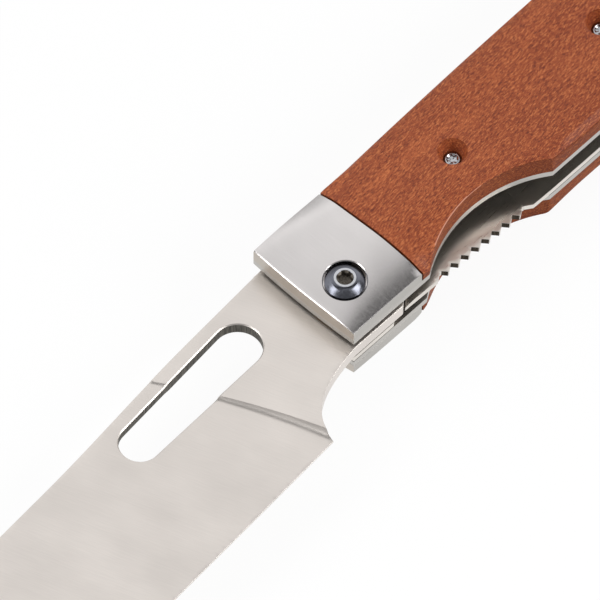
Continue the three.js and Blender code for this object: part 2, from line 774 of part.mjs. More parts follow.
// Profile of a domed head from its floor to its flat top
function domedHead(floor, top) {
  const rim = floor + PIVOT_RIM_H;
  const rise = top - rim;
  const steps = 5;
  const dome = [];
  for (let i = 0; i <= steps; i += 1) {
    const t = i / steps;
    const r = THREE.MathUtils.lerp(PIVOT_HEAD_R, PIVOT_FLAT_R, t);
    dome.push([r, rim + rise * Math.sin((t * Math.PI) / 2)]);
  }
  return [[PIVOT_HEAD_R, floor], ...dome, [0, top]];
}

const recessFloorZ = FRONT_COVER_Z + PIVOT_RECESS_FLOOR;
const barrelTopZ = recessFloorZ;

function makePivotScrew() {
  const shankEnd = barrelTopZ - PIVOT_SCREW_REACH;
  const body = turned([
    [0, shankEnd],
    [PIVOT_SCREW_R, shankEnd],
    [PIVOT_SCREW_R, recessFloorZ],
    ...domedHead(recessFloorZ, TOP_Z),
  ]);
  const floor = TOP_Z - PIVOT_SOCKET_DEPTH;
  return body.subtract(socket(PIVOT_SOCKET_R, floor, PIVOT_SOCKET_DEPTH + 1));
}

// The barrel ends in a plain domed head in the back bolster. It is turned upside down.
function makePivotBarrel() {
  const headFloor = TOP_Z - (COVER_T - PIVOT_RECESS_FLOOR);
  const body = turned([
    [0, TOP_Z - barrelTopZ],
    [BARREL_R, TOP_Z - barrelTopZ],
    [BARREL_R, headFloor],
    ...domedHead(headFloor, TOP_Z),
  ]);
  const bore = rod(0, 0, BARREL_BORE_R, TOP_Z - barrelTopZ - 1, PIVOT_SCREW_REACH + 2);
  return toGeometry(body.subtract(bore)).rotateX(Math.PI).translate(0, 0, TOP_Z);
}

// A cover screw whose cover has its floor at height 0, with its shank reaching down by reach
function makeCoverScrew(reach) {
  const body = turned([
    [0, -reach],
    [COVER_SCREW_R, -reach],
    [COVER_SCREW_R, screwHeadFloor],
    [COVER_SCREW_HEAD_R, screwHeadFloor],
    [COVER_SCREW_HEAD_R, screwHeadTop],
    [0, screwHeadTop],
  ], 0, 0, COARSE);
  const floor = screwHeadTop - COVER_SOCKET_DEPTH;
  return toGeometry(body.subtract(socket(COVER_SOCKET_R, floor, COVER_SOCKET_DEPTH + 1)));
}

// Materials

function material(color, roughness, metalness) {
  return new THREE.MeshStandardMaterial({ color, roughness, metalness });
}

const satinBlade = () => material(0xd8d2cc, 0.38, 0.9);
const satinBolster = () => material(0xc6c4c2, 0.42, 0.9);
const plateSteel = () => material(0xb4b1ad, 0.4, 0.9);
const polishedSteel = () => material(0xaeb0b4, 0.18, 1.0);
const bronze = () => material(0xa98a5c, 0.45, 0.8);
const wood = () => material(0xa9572f, 0.6, 0.0);
const spacerSteel = () => material(0x8d8b88, 0.5, 0.85);

// Assembly

function piece(name, shape, finish) {
  const geometry = shape.isBufferGeometry ? shape : toGeometry(shape);
  const mesh = new THREE.Mesh(geometry, finish());
  mesh.name = name;
  return mesh;
}

function raised(mesh, z) {
  mesh.position.z = z;
  return mesh;
}

const handle = new THREE.Group();
handle.add(
  raised(piece('front_bolster', makeBolster(frontBlank), satinBolster), FRONT_COVER_Z),
  raised(piece('back_bolster', mirrored(makeBolster(backBlank)), satinBolster), BACK_LINER_Z),
  raised(piece('front_scale', makeCover(frontBlank, 0), wood), FRONT_COVER_Z),
  raised(piece('back_scale', mirrored(makeCover(backBlank, BACK_ARC_SHIFT)), wood), BACK_LINER_Z),
  piece('front_liner', makeLiner(FRONT_LINER_Z, 0), plateSteel),
  piece('back_liner', makeLiner(BACK_LINER_Z, BACK_ARC_SHIFT), plateSteel),
  piece('lock_plate', makeLockPlate(), plateSteel),
  piece('backspacer', makeBackspacer(), spacerSteel),
  piece('stop_pin', rod(...stopPinPlace, STOP_PIN_R, BACK_LINER_Z, FRONT_COVER_Z - BACK_LINER_Z),
    polishedSteel),
  piece('pivot_barrel', makePivotBarrel(), polishedSteel),
  piece('pivot_screw', makePivotScrew(), polishedSteel),
  piece('front_washer', makeWasher(BLADE_Z + BLADE_T + WASHER_PLAY,
    FRONT_LINER_Z - BLADE_Z - BLADE_T - WASHER_PLAY), bronze),
  piece('back_washer', makeWasher(SLOT_Z, BACK_WASHER_T - WASHER_PLAY), bronze),
);

coverScrewPlaces.forEach(([x, y], i) => {
  const front = piece(`front_scale_screw_${i + 1}`, makeCoverScrew(LINER_T), polishedSteel);
  front.position.set(x, y, FRONT_COVER_Z);
  const back = piece(`back_scale_screw_${i + 1}`, mirrored(makeCoverScrew(2 * LINER_T)),
    polishedSteel);
  back.position.set(x, y, BACK_LINER_Z);
  handle.add(front, back);
});

linerPinPlaces.forEach(([x, y], i) => {
  const pin = rod(x, y, LINER_PIN_R, BACK_LINER_Z, FRONT_COVER_Z - BACK_LINER_Z);
  handle.add(piece(`liner_pin_${i + 1}`, pin, polishedSteel));
});

const lockBar = new THREE.Group();
lockBar.position.set(barRootX, 0, barAxisZ);
lockBar.rotation.y = deg(BAR_ANGLE);
lockBar.add(
  piece('lock_bar', makeLockBar(), plateSteel),
  piece('detent_ball', makeDetentBall(), polishedSteel),
);

const knife = new THREE.Group();
knife.add(handle, lockBar, piece('blade', makeBlade(), satinBlade));

export default knife;
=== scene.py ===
"""A large folding knife with a liner lock, shown open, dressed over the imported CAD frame.

Lengths are millimetres here and become metres when a mesh is made. The origin is the pivot axis
on the surface that the knife lies on: +X runs to the butt of the handle, +Y to the spine and +Z
out of the front side. The blade points to -X with its edge to -Y.
"""

import math

import bpy
import numpy as np
from mathutils import Matrix, Vector
from mathutils.geometry import delaunay_2d_cdt


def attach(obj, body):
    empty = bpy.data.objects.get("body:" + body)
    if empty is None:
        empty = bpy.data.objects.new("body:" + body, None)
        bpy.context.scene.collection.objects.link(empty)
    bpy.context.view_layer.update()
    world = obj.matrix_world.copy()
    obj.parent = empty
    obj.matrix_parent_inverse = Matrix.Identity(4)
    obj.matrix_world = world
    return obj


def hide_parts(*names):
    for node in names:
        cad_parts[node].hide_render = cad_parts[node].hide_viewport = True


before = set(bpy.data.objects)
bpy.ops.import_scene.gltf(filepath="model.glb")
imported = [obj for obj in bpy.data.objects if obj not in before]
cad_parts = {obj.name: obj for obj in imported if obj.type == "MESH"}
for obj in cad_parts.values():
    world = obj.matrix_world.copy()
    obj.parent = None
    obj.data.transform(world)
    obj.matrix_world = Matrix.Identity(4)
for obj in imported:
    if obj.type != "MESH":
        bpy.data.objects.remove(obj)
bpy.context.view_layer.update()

MM = 0.001

# Layers, from the back cover up
COVER_T = 5.2
LINER_T = 1.5
SLOT_T = 4.7
BLADE_T = 3.0
BACK_WASHER_T = 0.95
BACK_LINER_Z = COVER_T
LOCK_PLATE_Z = BACK_LINER_Z + LINER_T
SLOT_Z = LOCK_PLATE_Z + LINER_T
BLADE_Z = SLOT_Z + BACK_WASHER_T
FRONT_LINER_Z = SLOT_Z + SLOT_T
FRONT_COVER_Z = FRONT_LINER_Z + LINER_T
TOP_Z = FRONT_COVER_Z + COVER_T

CLEARANCE = 0.3  # round a pin, screw or barrel in its hole
PIN_CLEARANCE = 0.25  # round a liner pin

# Handle outline
FRONT_X = -6.95
FRONT_BOW = 0.4
JOINT_X = 11.8
JOINT_GAP = 0.2
JOINT_SHADOW = 0.2  # the wood's worn edge opens the joint by this much
JOINT_LEAN = math.tan(math.radians(2.6))
SPINE_FRONT_Y = 18.05
SPINE_JOINT_Y = 17.6
SPINE_BOW = (60.0, 19.9)
SPINE_REAR_Y = 19.3
BELLY_FRONT_Y = -9.07
BELLY_REAR_Y = -9.85
BUTT_X = 134.0
BUTT_Y = 4.0  # height of the rearmost point
BUTT_CURVE_X = 108.0  # where the butt's curve starts at the spine
BUTT_CURVE_END_X = 112.0  # and where it ends at the belly
BUTT_SPINE_LEAD = 14.0
BUTT_SPINE_DROP = 0.2
BUTT_BELLY_LEAD = 12.0
BUTT_CORNER = 5.0
BUTT_STEPS = 28

# Arc cut-out at the belly
ARC_R = 29.6
ARC_APEX_Y = -4.1
ARC_LEAD = 2.6  # from the bolster to the front end of the cut-out
ARC_CENTRE_Y = ARC_APEX_Y - ARC_R
ARC_FRONT_X = JOINT_X + ARC_LEAD
ARC_X = ARC_FRONT_X + math.sqrt(ARC_R**2 - (BELLY_FRONT_Y - ARC_CENTRE_Y) ** 2)
BACK_ARC_SHIFT = -0.75
ARC_END_X = ARC_X + math.sqrt(ARC_R**2 - (BELLY_REAR_Y - ARC_CENTRE_Y) ** 2)

# Crown of the covers and bolsters: width and depth of each fall
SPINE_CROWN = (6.5, 1.2)
FRONT_CROWN = (15.0, 2.5)
BELLY_CROWN = (6.5, 0.3)
FRONT_FALL = (25.0, 1.9)
BUTT_FALL = (22.0, 1.6)
CORNER_FALL = (4.0, 1.6)
BELLY_ROUND = (2.0, 8.0, 18.0)  # radius, start before the cut-out's end, length
SPINE_ROUND = (0.8, 8.0)  # radius, length

# Blade, in its own axes
TILT = math.radians(3.7)
BLADE_SPINE_Y = 16.7
NOSE_Y = BLADE_SPINE_Y - 1.1  # the spine lies lower in front of the thumb opening
BLADE_EDGE_Y = -19.1
EDGE_HALF_T = 0.2
BLADE_START = (4.0, BLADE_SPINE_Y)
HEEL = (-26.1, BLADE_EDGE_Y)
TIP = (-118.0, -16.8)
CHOIL = (-7.3, -8.95)
OPENING_REAR = (-22.0, 8.8, 5.05)  # x, y, radius
OPENING_FRONT = (-51.0, 9.05, 4.25)
PLUNGE_DEPTH = 0.15  # step down to the grind at the spine
FILLET_R = 1.0
FILLET_MARGIN = 0.05
TANG_R = 11.44
TANG_BELLY_Y = -9.4
STOP_FACE_R = 15.2
STOP_PIN_R = 1.75
STOP_PIN_REACH = 14.0  # from the pivot
STOP_PIN_ANGLE = 41.5

# Curves of the blade's outline, each by the points that draw it
SPINE_POINTS = [(-28.0, BLADE_SPINE_Y), (-42.7, BLADE_SPINE_Y), (-57.3, NOSE_Y), (-72.0, NOSE_Y)]
NOSE_POINTS = [(-90.0, NOSE_Y), (-105.0, NOSE_Y), (TIP[0] + 3.0, 3.0), TIP]
EDGE_POINTS = [TIP, (TIP[0] + 10.0, BLADE_EDGE_Y), (TIP[0] + 30.0, BLADE_EDGE_Y), HEEL]
CHOIL_POINTS = [HEEL, (HEEL[0] + 1.5, -12.5), (HEEL[0] + 7.0, -9.6), CHOIL]
PLUNGE_POINTS = [(-39.2, BLADE_SPINE_Y), (-29.5, -1.2), (-24.6, BLADE_EDGE_Y)]

# Pivot and fasteners
BARREL_R = 2.5
BARREL_HOLE_R = BARREL_R + CLEARANCE
BARREL_BORE_R = 1.4
PIVOT_SHANK_R = 1.1
PIVOT_SHANK_L = 5.0
PIVOT_HEAD_R = 4.05
PIVOT_RECESS_R = 4.34
PIVOT_FLOOR = 2.6
PIVOT_RIM_H = 1.2
PIVOT_FLAT_R = 2.05
PIVOT_SOCKET = (1.68, 1.3)  # radius, depth
COVER_SCREWS = [(35.7, 5.2), (77.7, 5.2), (119.7, 5.2)]
SCREW_HEAD_R = 1.55
SCREW_HEAD_TOP = 2.5
SCREW_HEAD_FLOOR = 1.5
SCREW_SOCKET = (1.2, 0.6)
HEAD_HOLE_R = 1.85
MOUTH_R = 3.0
THROUGH_R = 1.3
SCREW_SHANK_R = 1.0
SHANK_CHAMFER = 0.1
HEAD_CHAMFER = 0.1  # at the pivot head's foot
SCREW_HEAD_CHAMFER = 0.05
SCREW_HEAD_ROUND = 0.16
SOCKET_MOUTH = (0.05, 0.04)  # width, depth
LOBE_DEPTH = 0.135  # share of a socket's radius

# Lock bar
BAR_T = 1.4
BAR_END_GAP = 0.3  # between the tang and the bar's end
BAR_UNDER_GAP = 0.05  # under the bar when it lies flush
BAR_LIFT = 2.15  # rise of the bar's free end over its flush place
BAR_ROOT_X = 41.5
BAR_ROOT_GAP = 0.06
BAR_END_R = TANG_R + BAR_END_GAP
BAR_INNER_Y = -2.0
BAR_SLIT = 0.8
BAR_WINDOW_R = 10.0
BAR_AXIS_Z = LOCK_PLATE_Z + BAR_UNDER_GAP + BAR_T / 2
BAR_REACH = BAR_ROOT_X - math.sqrt(BAR_END_R**2 - BELLY_FRONT_Y**2)
BAR_ANGLE = math.asin(BAR_LIFT / BAR_REACH)
BAR_CHAMFER = (2.4, 0.35)  # length, depth
JIMP_START_X = 16.7
JIMP_FIRST_X = 19.5
JIMP_PITCH = 2.82
JIMP_TEETH = 8
JIMP_DEPTH = 1.05
JIMP_FLANK = 0.85
JIMP_TIP_W = 0.25
JIMP_RAMP = 1.6

SPACER_W = 3.2
SPACER_START_X = 14.0
LINER_PIN_R = 0.75

# Edges: radius or chamfer of each
BOLSTER_EDGE = 0.15
BOLSTER_JOINT_EDGE = 0.06
BOLSTER_RINGS = (0.8, 0.5)  # insets of two rings that keep the mesh even along the edge
RECESS_EDGE = 0.16
COVER_EDGE = 0.22
COVER_JOINT_EDGE = 0.05
JOINT_EDGE_REACH = 2.0  # from the joint, in X
SCREW_MOUTH = ((0.12, 0.0), (0.03, 0.04), (0.0, 0.14))  # inset, depth
PLATE_EDGE = 0.06
PLATE_GROOVE = (0.24, 0.4)  # width, depth
BAR_EDGE = 0.1
BAR_ROOT_EDGE = 0.02
SPACER_EDGE = 0.15
BLADE_EDGE = 0.1
BLADE_EDGE_SHARE = 0.25  # the most, as a share of half the thickness near the edge
OPENING_EDGE = 0.22

# Meshes: distance between points on the surfaces and along the edges
BOLSTER_MESH = (0.6, 0.5)
COVER_MESH = (0.8, 0.8)
BAR_MESH = (0.9, 0.9)
BLADE_MESH = (1.0, 0.8)
PLUNGE_ROWS = (0.0, 0.12, 0.3, 0.55, 0.85, 1.15)  # rows over the fillet, in fillet widths
PLUNGE_ROW_GAP = 0.32  # from a row's end to an outline

# Faces with a finish of their own or with a painted highlight, by the lean of their normals and by
# their place
UPRIGHT = 0.3
SHEER = 0.9
# Painted highlight: a pale pink strip on the rounded edge over the cut-out's arc, as if light caught
# it
HIGHLIGHT_FLAT = 0.93
HIGHLIGHT_FROM = 4.0  # behind the cut-out's front end
HIGHLIGHT_TO = 3.0  # past its middle
HIGHLIGHT_BAND = (0.3, 0.4)  # across the edge, over the apex
RIM_DEPTH = 0.07
RIM_MARGIN = 0.08


# Outlines


def bezier(points, steps):
    """Points along a Bezier curve."""
    along = np.linspace(0, 1, steps + 1)[:, None]
    line = [np.array(p, float) for p in points]
    while len(line) > 1:
        line = [a + (b - a) * along for a, b in zip(line, line[1:])]
    return line[0]


def arc(radius, start, end, steps, x=0.0, y=0.0):
    """Points along a circle, from one angle in degrees to another."""
    angle = np.radians(np.linspace(start, end, steps + 1))
    return np.column_stack([x + radius * np.cos(angle), y + radius * np.sin(angle)])


def joined(*parts):
    """One closed outline from lines of points, with no point twice."""
    points = np.concatenate([np.atleast_2d(np.array(p, float)) for p in parts])
    apart = np.linalg.norm(points - np.roll(points, 1, 0), axis=1)
    return points[apart > 1e-4]


def side_steps(outline, spacing):
    """How many steps each side of the outline is cut into, so that none is over spacing."""
    sides = np.linalg.norm(np.roll(outline, -1, 0) - outline, axis=1)
    return np.maximum(1, np.ceil(sides / spacing)).astype(int)


def stepped(values, steps):
    """The values at an outline's corners, also at the steps between one corner and the next."""
    return np.concatenate([
        a + (b - a) * np.linspace(0, 1, n, endpoint=False)[:, None]
        for a, b, n in zip(values, np.roll(values, -1, 0), steps)
    ])


def stepped_outline(outline, steps):
    """The outline with its sides cut into this many steps. A side bows in by next to nothing,
    so that the triangles over it never start with one that has no width."""
    bow = 1e-4  # mm
    run = np.roll(outline, -1, 0) - outline
    run /= np.linalg.norm(run, axis=1)[:, None]
    left = np.repeat(np.column_stack([-run[:, 1], run[:, 0]]), steps, 0)
    along = np.concatenate([np.linspace(0, 1, n, endpoint=False) for n in steps])
    return stepped(outline, steps) + left * (bow * 4 * along * (1 - along))[:, None]


def dense(outline, spacing):
    return stepped_outline(outline, side_steps(outline, spacing))


def moved_in(outline, inset):
    """The outline moved to its left, into the material, by inset."""
    run = np.roll(outline, -1, 0) - outline
    run /= np.linalg.norm(run, axis=1)[:, None]
    left = np.column_stack([-run[:, 1], run[:, 0]])
    before = np.roll(left, 1, 0)
    mitre = (left + before) / (1 + (left * before).sum(1))[:, None]
    return outline + mitre * np.reshape(inset, (-1, 1))


def hole(x, y, radius, steps=48):
    """A round hole's outline, clockwise, so that the material is on its left."""
    return arc(radius, 360, 0, steps, x, y)[:-1]


def angle_at(radius, y):
    return math.degrees(math.asin(y / radius))


def joint_end(x):
    """The slanting end of a bolster or a cover, from the spine to the belly."""
    return np.array([(x - y * JOINT_LEAN, y) for y in (SPINE_JOINT_Y, BELLY_FRONT_Y)])


def front_end():
    """The bowed front end of the bolsters and plates, from the spine to the belly."""
    t = np.linspace(0, 1, 19)
    return np.column_stack([
        FRONT_X - FRONT_BOW * 4 * t * (1 - t),
        SPINE_FRONT_Y + (BELLY_FRONT_Y - SPINE_FRONT_Y) * t,
    ])


SPINE_LINE = bezier([joint_end(JOINT_X)[0], SPINE_BOW, (BUTT_CURVE_X, SPINE_REAR_Y)], 60)
BUTT_TOP = bezier([
    (BUTT_CURVE_X, SPINE_REAR_Y),
    (BUTT_CURVE_X + BUTT_SPINE_LEAD, SPINE_REAR_Y - BUTT_SPINE_DROP),
    (BUTT_X, SPINE_REAR_Y - BUTT_CORNER),
    (BUTT_X, BUTT_Y),
], BUTT_STEPS)
BUTT_BOTTOM = bezier([
    (BUTT_X, BUTT_Y),
    (BUTT_X, BELLY_REAR_Y + BUTT_CORNER),
    (BUTT_CURVE_END_X + BUTT_BELLY_LEAD, BELLY_REAR_Y),
    (BUTT_CURVE_END_X, BELLY_REAR_Y),
], BUTT_STEPS)

# The pins through the backspacer: the line that each is on, and its share of the way along
LINER_PINS = ((SPINE_LINE, 0.12), (SPINE_LINE, 0.45), (SPINE_LINE, 0.8), (BUTT_TOP, 0.6))


def cut_out(shift):
    """The belly edge's arc."""
    half_front = math.sqrt(ARC_R**2 - (BELLY_FRONT_Y - ARC_CENTRE_Y) ** 2)
    start = math.degrees(math.atan2(BELLY_FRONT_Y - ARC_CENTRE_Y, -half_front))
    end = math.degrees(math.atan2(BELLY_REAR_Y - ARC_CENTRE_Y, ARC_END_X - ARC_X))
    return arc(ARC_R, start, end, 44, ARC_X + shift, ARC_CENTRE_Y)


PLAIN_BELLY = [(JIMP_START_X, BELLY_FRONT_Y), (ARC_END_X, BELLY_REAR_Y)]


def belly_y(x):
    """Height of the belly edge where it has no cut-out."""
    (from_x, from_y), (to_x, to_y) = PLAIN_BELLY
    return np.interp(x, [from_x, to_x], [from_y, to_y])


def spine_y(x):
    return np.interp(x, [FRONT_X, *SPINE_LINE[:, 0]], [SPINE_FRONT_Y, *SPINE_LINE[:, 1]])


def handle_outline(end, belly):
    spine = SPINE_LINE[SPINE_LINE[:, 0] > end[0][0]]
    return joined(end, belly, BUTT_BOTTOM[::-1], BUTT_TOP[::-1], spine[::-1])


def spacer_pin_places():
    """The pins through the backspacer, halfway across it."""
    places = []
    for line, at in LINER_PINS:
        i = round(at * (len(line) - 1))
        run = line[i + 1] - line[i - 1]
        run /= np.linalg.norm(run)
        places.append(line[i] + np.array([run[1], -run[0]]) * SPACER_W / 2)
    return places


# Meshes


def inside(points, loops):
    """Whether each point is inside the first loop and outside the others."""
    odd = np.zeros(len(points), bool)
    px, py = points[:, 0, None], points[:, 1, None]
    for loop in loops:
        (ax, ay), (bx, by) = loop.T, np.roll(loop, -1, 0).T
        with np.errstate(divide="ignore", invalid="ignore"):
            crossing = ax + (py - ay) * (bx - ax) / (by - ay)
        odd ^= (((ay > py) != (by > py)) & (px < crossing)).sum(1) % 2 == 1
    return odd


def distance_to(points, loops):
    nearest = np.full(len(points), np.inf)
    for loop in loops:
        run = np.roll(loop, -1, 0) - loop
        along = ((points[:, None] - loop) * run).sum(2) / (run**2).sum(1)
        foot = loop + np.clip(along, 0, 1)[..., None] * run
        nearest = np.minimum(nearest, np.linalg.norm(points[:, None] - foot, axis=2).min(1))
    return nearest


def grid(loops, spacing, lines):
    """Points inside the loops, in rows this far apart, that keep off the loops and lines."""
    low, high = loops[0].min(0), loops[0].max(0)
    across = [np.arange(low[k] + spacing / 2, high[k], spacing) for k in (0, 1)]
    points = np.stack(np.meshgrid(*across), -1).reshape(-1, 2)
    points = points[inside(points, loops)]
    from_loops, from_lines = spacing * 0.55, spacing * 0.5
    points = points[distance_to(points, loops) > from_loops]
    for line in lines:
        gap = np.linalg.norm(points[:, None] - line, axis=2).min(1)
        points = points[gap > from_lines]
    return points


def triangles(rings, inner, lines):
    """Triangles between the rings, over the inner points and with the lines as edges."""
    points = np.concatenate([*rings, inner, *lines])
    edges, start = [], 0
    for ring in rings:
        edges += [(start + i, start + (i + 1) % len(ring)) for i in range(len(ring))]
        start += len(ring)
    start += len(inner)
    for line in lines:
        edges += [(start + i, start + i + 1) for i in range(len(line) - 1)]
        start += len(line)
    closest = 1e-7
    found = delaunay_2d_cdt([Vector(p) for p in points], edges, [], 0, closest)
    source = [places[0] for places in found[3]]
    faces = np.array([[source[v] for v in face] for face in found[2]])
    faces = faces[inside(points[faces].mean(1), rings)]
    a, b, c = (points[faces[:, k]] for k in range(3))
    area = (b - a)[:, 0] * (c - a)[:, 1] - (b - a)[:, 1] * (c - a)[:, 0]
    faces[area < 0] = faces[area < 0][:, ::-1]
    return faces


def skin(loops, top, bottom, spacing=None, along=5.0, lines=(), both=False):
    """Closed mesh of a plate. Each loop is an outline with the material on its left, and its
    section: (inset, level, value) from the top face's edge down to the bottom face's. A level
    of "top" or "bottom" is that surface, moved by value into the plate; "at" is a height. The
    mesh has points this spacing apart on the top face, and on the bottom face if both, and its
    sides are along long at most."""
    verts, faces, tops, bottoms, count = [], [], [], [], 0
    for outline, section in loops:
        steps = side_steps(outline, along)
        size = int(steps.sum())
        around = np.arange(size)
        after = np.roll(around, -1)
        for k, (inset, level, value) in enumerate(section):
            ring = stepped_outline(moved_in(outline, inset), steps)
            if np.ndim(value):
                value = stepped(value[:, None], steps)[:, 0]
            heights = {
                "top": lambda: top(ring) - value,
                "bottom": lambda: bottom(ring) + value,
                "at": lambda: value,
            }[level]()
            verts.append(np.column_stack([ring, np.broadcast_to(heights, size)]))
            if k == 0:
                tops.append((ring, count))
            else:
                above = count - size
                faces += np.stack(
                    [count + around, count + after, above + after, above + around], 1
                ).tolist()
            count += size
        bottoms.append((ring, count - size))
    for ends, surface, way in ((tops, top, 1), (bottoms, bottom, -1)):
        rings = [ring for ring, _ in ends]
        fine = spacing and (way == 1 or both)
        inner = grid(rings, spacing, lines) if fine else np.zeros((0, 2))
        used = list(lines) if fine else []
        found = triangles(rings, inner, used)
        extra = np.concatenate([inner, *used])
        index = np.concatenate(
            [start + np.arange(len(ring)) for ring, start in ends]
            + [count + np.arange(len(extra))]
        )
        if len(extra):
            verts.append(np.column_stack([extra, surface(extra)]))
            count += len(extra)
        faces += index[found][:, ::way].tolist()
    return np.concatenate(verts), faces


def spun(rings, x=0.0, y=0.0, steps=96):
    """Closed mesh turned about +Z from rings of (radius, height), the lowest first. A radius may
    be a function of the angle. The first and last ring are closed to their middles."""
    angle = np.linspace(0, 2 * np.pi, steps, endpoint=False)
    around = np.arange(steps)
    after = np.roll(around, -1)
    verts, faces = [], []
    for k, (radius, height) in enumerate(rings):
        r = radius(angle) if callable(radius) else np.full(steps, float(radius))
        z = np.full(steps, float(height))
        verts.append(np.column_stack([x + r * np.cos(angle), y + r * np.sin(angle), z]))
        if k:
            below, here = (k - 1) * steps, k * steps
            faces += np.stack(
                [below + around, below + after, here + after, here + around], 1
            ).tolist()
    last = (len(rings) - 1) * steps
    verts.append([[x, y, rings[0][1]], [x, y, rings[-1][1]]])
    low, high = len(rings) * steps, len(rings) * steps + 1
    faces += [[low, int(b), int(a)] for a, b in zip(around, after)]
    faces += [[high, last + int(a), last + int(b)] for a, b in zip(around, after)]
    return np.concatenate(verts), faces


def turned_over(shape):
    """The same shape with its top down."""
    verts, faces = shape
    return verts * [1, 1, -1], [face[::-1] for face in faces]


def raised(shape, z):
    verts, faces = shape
    return verts + [0, 0, z], faces


def grooved_edge(radius, width, depth):
    """Section of an edge rounded at the top and cut back at the bottom."""
    return [
        *smooth_edge(radius, 2)[:3],
        (0, "bottom", width),
        (depth, "bottom", width),
        (depth, "bottom", 0),
    ]


def smooth_edge(radius, segments=3):
    """Section of an edge rounded by radius at the top and at the bottom."""
    turn = np.radians(np.linspace(0, 90, segments + 1))
    steps = [(radius * (1 - math.sin(a)), radius * (1 - math.cos(a))) for a in turn]
    return [(i, "top", d) for i, d in steps] + [(i, "bottom", d) for i, d in reversed(steps)]


def cut_edge(chamfer):
    """Section of an edge with a flat chamfer at the top and at the bottom."""
    return [(chamfer, "top", 0), (0, "top", chamfer), (0, "bottom", chamfer), (chamfer, "bottom", 0)]


def plain_edge():
    return [(0, "top", 0), (0, "bottom", 0)]


def level(z):
    return lambda points: np.full(len(points), float(z))


def six_lobes(radius):
    return lambda angle: radius * (1 - LOBE_DEPTH + LOBE_DEPTH * np.cos(6 * angle))


def make_piece(name, shape, finish, body, slot, *nodes, sharp=32.0, parts=()):
    """A piece of the visual model, that stands for CAD nodes and rides on their body. Its parts
    are other finishes, each with a test of the middles and normals of the faces that have it."""
    verts, faces = shape
    mesh = bpy.data.meshes.new(name)
    mesh.from_pydata((verts * MM).tolist(), [], faces)
    mesh.validate()
    mesh.shade_smooth()
    mesh.set_sharp_from_angle(angle=math.radians(sharp))
    mesh.materials.append(finish)
    middles = np.array([face.center for face in mesh.polygons]) / MM
    normals = np.array([face.normal for face in mesh.polygons])
    chosen = np.zeros(len(normals), np.int32)
    for number, (other, test) in enumerate(parts, 1):
        mesh.materials.append(other)
        chosen[test(middles, normals)] = number
    mesh.polygons.foreach_set("material_index", chosen)
    piece = bpy.data.objects.new(name, mesh)
    bpy.context.scene.collection.objects.link(piece)
    weighted = piece.modifiers.new("weighted_normals", "WEIGHTED_NORMAL")
    weighted.keep_sharp = True
    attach(piece, body)
    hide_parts(*nodes)
    return piece


# Covers and bolsters


def smoothstep(x, start, length):
    t = np.clip((x - start) / length, 0, 1)
    return t * t * (3 - 2 * t)


def rounded(inset, radius):
    """Drop of a rounded edge at this distance in from the edge."""
    left = np.clip(radius - inset, 0, radius)
    return radius - np.sqrt(radius**2 - left**2)


def fall(distance, width, depth):
    return depth * np.clip(1 - distance / width, 0, 1) ** 2


def cover_height(shift):
    """Height of the crowned surface over the cover's flat floor."""

    def height(points):
        x, y = points.T
        from_belly = np.maximum(y - belly_y(x), 0)
        from_spine = np.maximum(spine_y(x) - y, 0)
        belly_r, belly_lead, belly_l = BELLY_ROUND
        belly_radius = belly_r * smoothstep(x, ARC_END_X + shift - belly_lead, belly_l)
        spine_radius = SPINE_ROUND[0] * smoothstep(x, JOINT_X, SPINE_ROUND[1])
        behind = smoothstep(x, JOINT_X, ARC_END_X - JOINT_X)
        belly_crown = [a + (b - a) * behind for a, b in zip(FRONT_CROWN, BELLY_CROWN)]
        crown = fall(from_belly, *belly_crown) + fall(from_spine, *SPINE_CROWN)
        drop = np.cbrt(fall(x - FRONT_X, *FRONT_FALL) ** 3 + crown**3)
        drop += fall(BUTT_X - x, *BUTT_FALL)
        drop += fall(np.hypot(x - ARC_FRONT_X - shift, from_belly), *CORNER_FALL)
        drop += rounded(from_belly, belly_radius) + rounded(from_spine, spine_radius)
        return COVER_T - drop

    return height


def is_side(middles, normals):
    """Whether these faces stand upright round a bolster."""
    outside_recess = np.hypot(middles[:, 0], middles[:, 1]) > PIVOT_RECESS_R + 0.5
    return (np.abs(normals[:, 2]) < UPRIGHT) & outside_recess


def is_front(middles, normals):
    """Whether these faces are the front end of a bolster."""
    return normals[:, 0] < -SHEER


def bolster_shape(shift):
    outline = joined(front_end(), joint_end(JOINT_X)[::-1])
    at_joint = outline[:, 0] > JOINT_X - JOINT_EDGE_REACH
    edge = np.where(at_joint, BOLSTER_JOINT_EDGE, BOLSTER_EDGE)
    section = [
        *[(inset, "top", 0) for inset in BOLSTER_RINGS],
        (edge, "top", 0),
        (0, "top", edge),
        (0, "bottom", 0),
    ]
    recess = [
        (RECESS_EDGE, "top", 0),
        (0, "top", RECESS_EDGE),
        (0, "at", PIVOT_FLOOR),
        (BARREL_HOLE_R - PIVOT_RECESS_R, "at", PIVOT_FLOOR),
        (BARREL_HOLE_R - PIVOT_RECESS_R, "bottom", 0),
    ]
    loops = [(outline, section), (hole(0, 0, PIVOT_RECESS_R, 96), recess)]
    return skin(loops, cover_height(shift), level(0), *BOLSTER_MESH)


def is_cut_wall(middles, normals):
    """Whether these faces are the walls of a cover, whose wood is darker: partly the end grain,
    partly painted shade.
    """
    return np.abs(normals[:, 2]) < UPRIGHT


def is_highlight_edge(middles, normals):
    """Whether these faces are the rounded edge over the belly's cut-out, which gets a painted
    highlight.
    """
    x, y = middles[:, 0], middles[:, 1]
    across, above = HIGHLIGHT_BAND
    along = (x > ARC_FRONT_X + HIGHLIGHT_FROM) & (x < ARC_X + HIGHLIGHT_TO) & (y < ARC_APEX_Y + above)
    near = np.hypot(x - ARC_X, y - ARC_CENTRE_Y) < ARC_R + across
    rise = np.abs(normals[:, 2])
    return along & near & (rise > UPRIGHT) & (rise < HIGHLIGHT_FLAT)


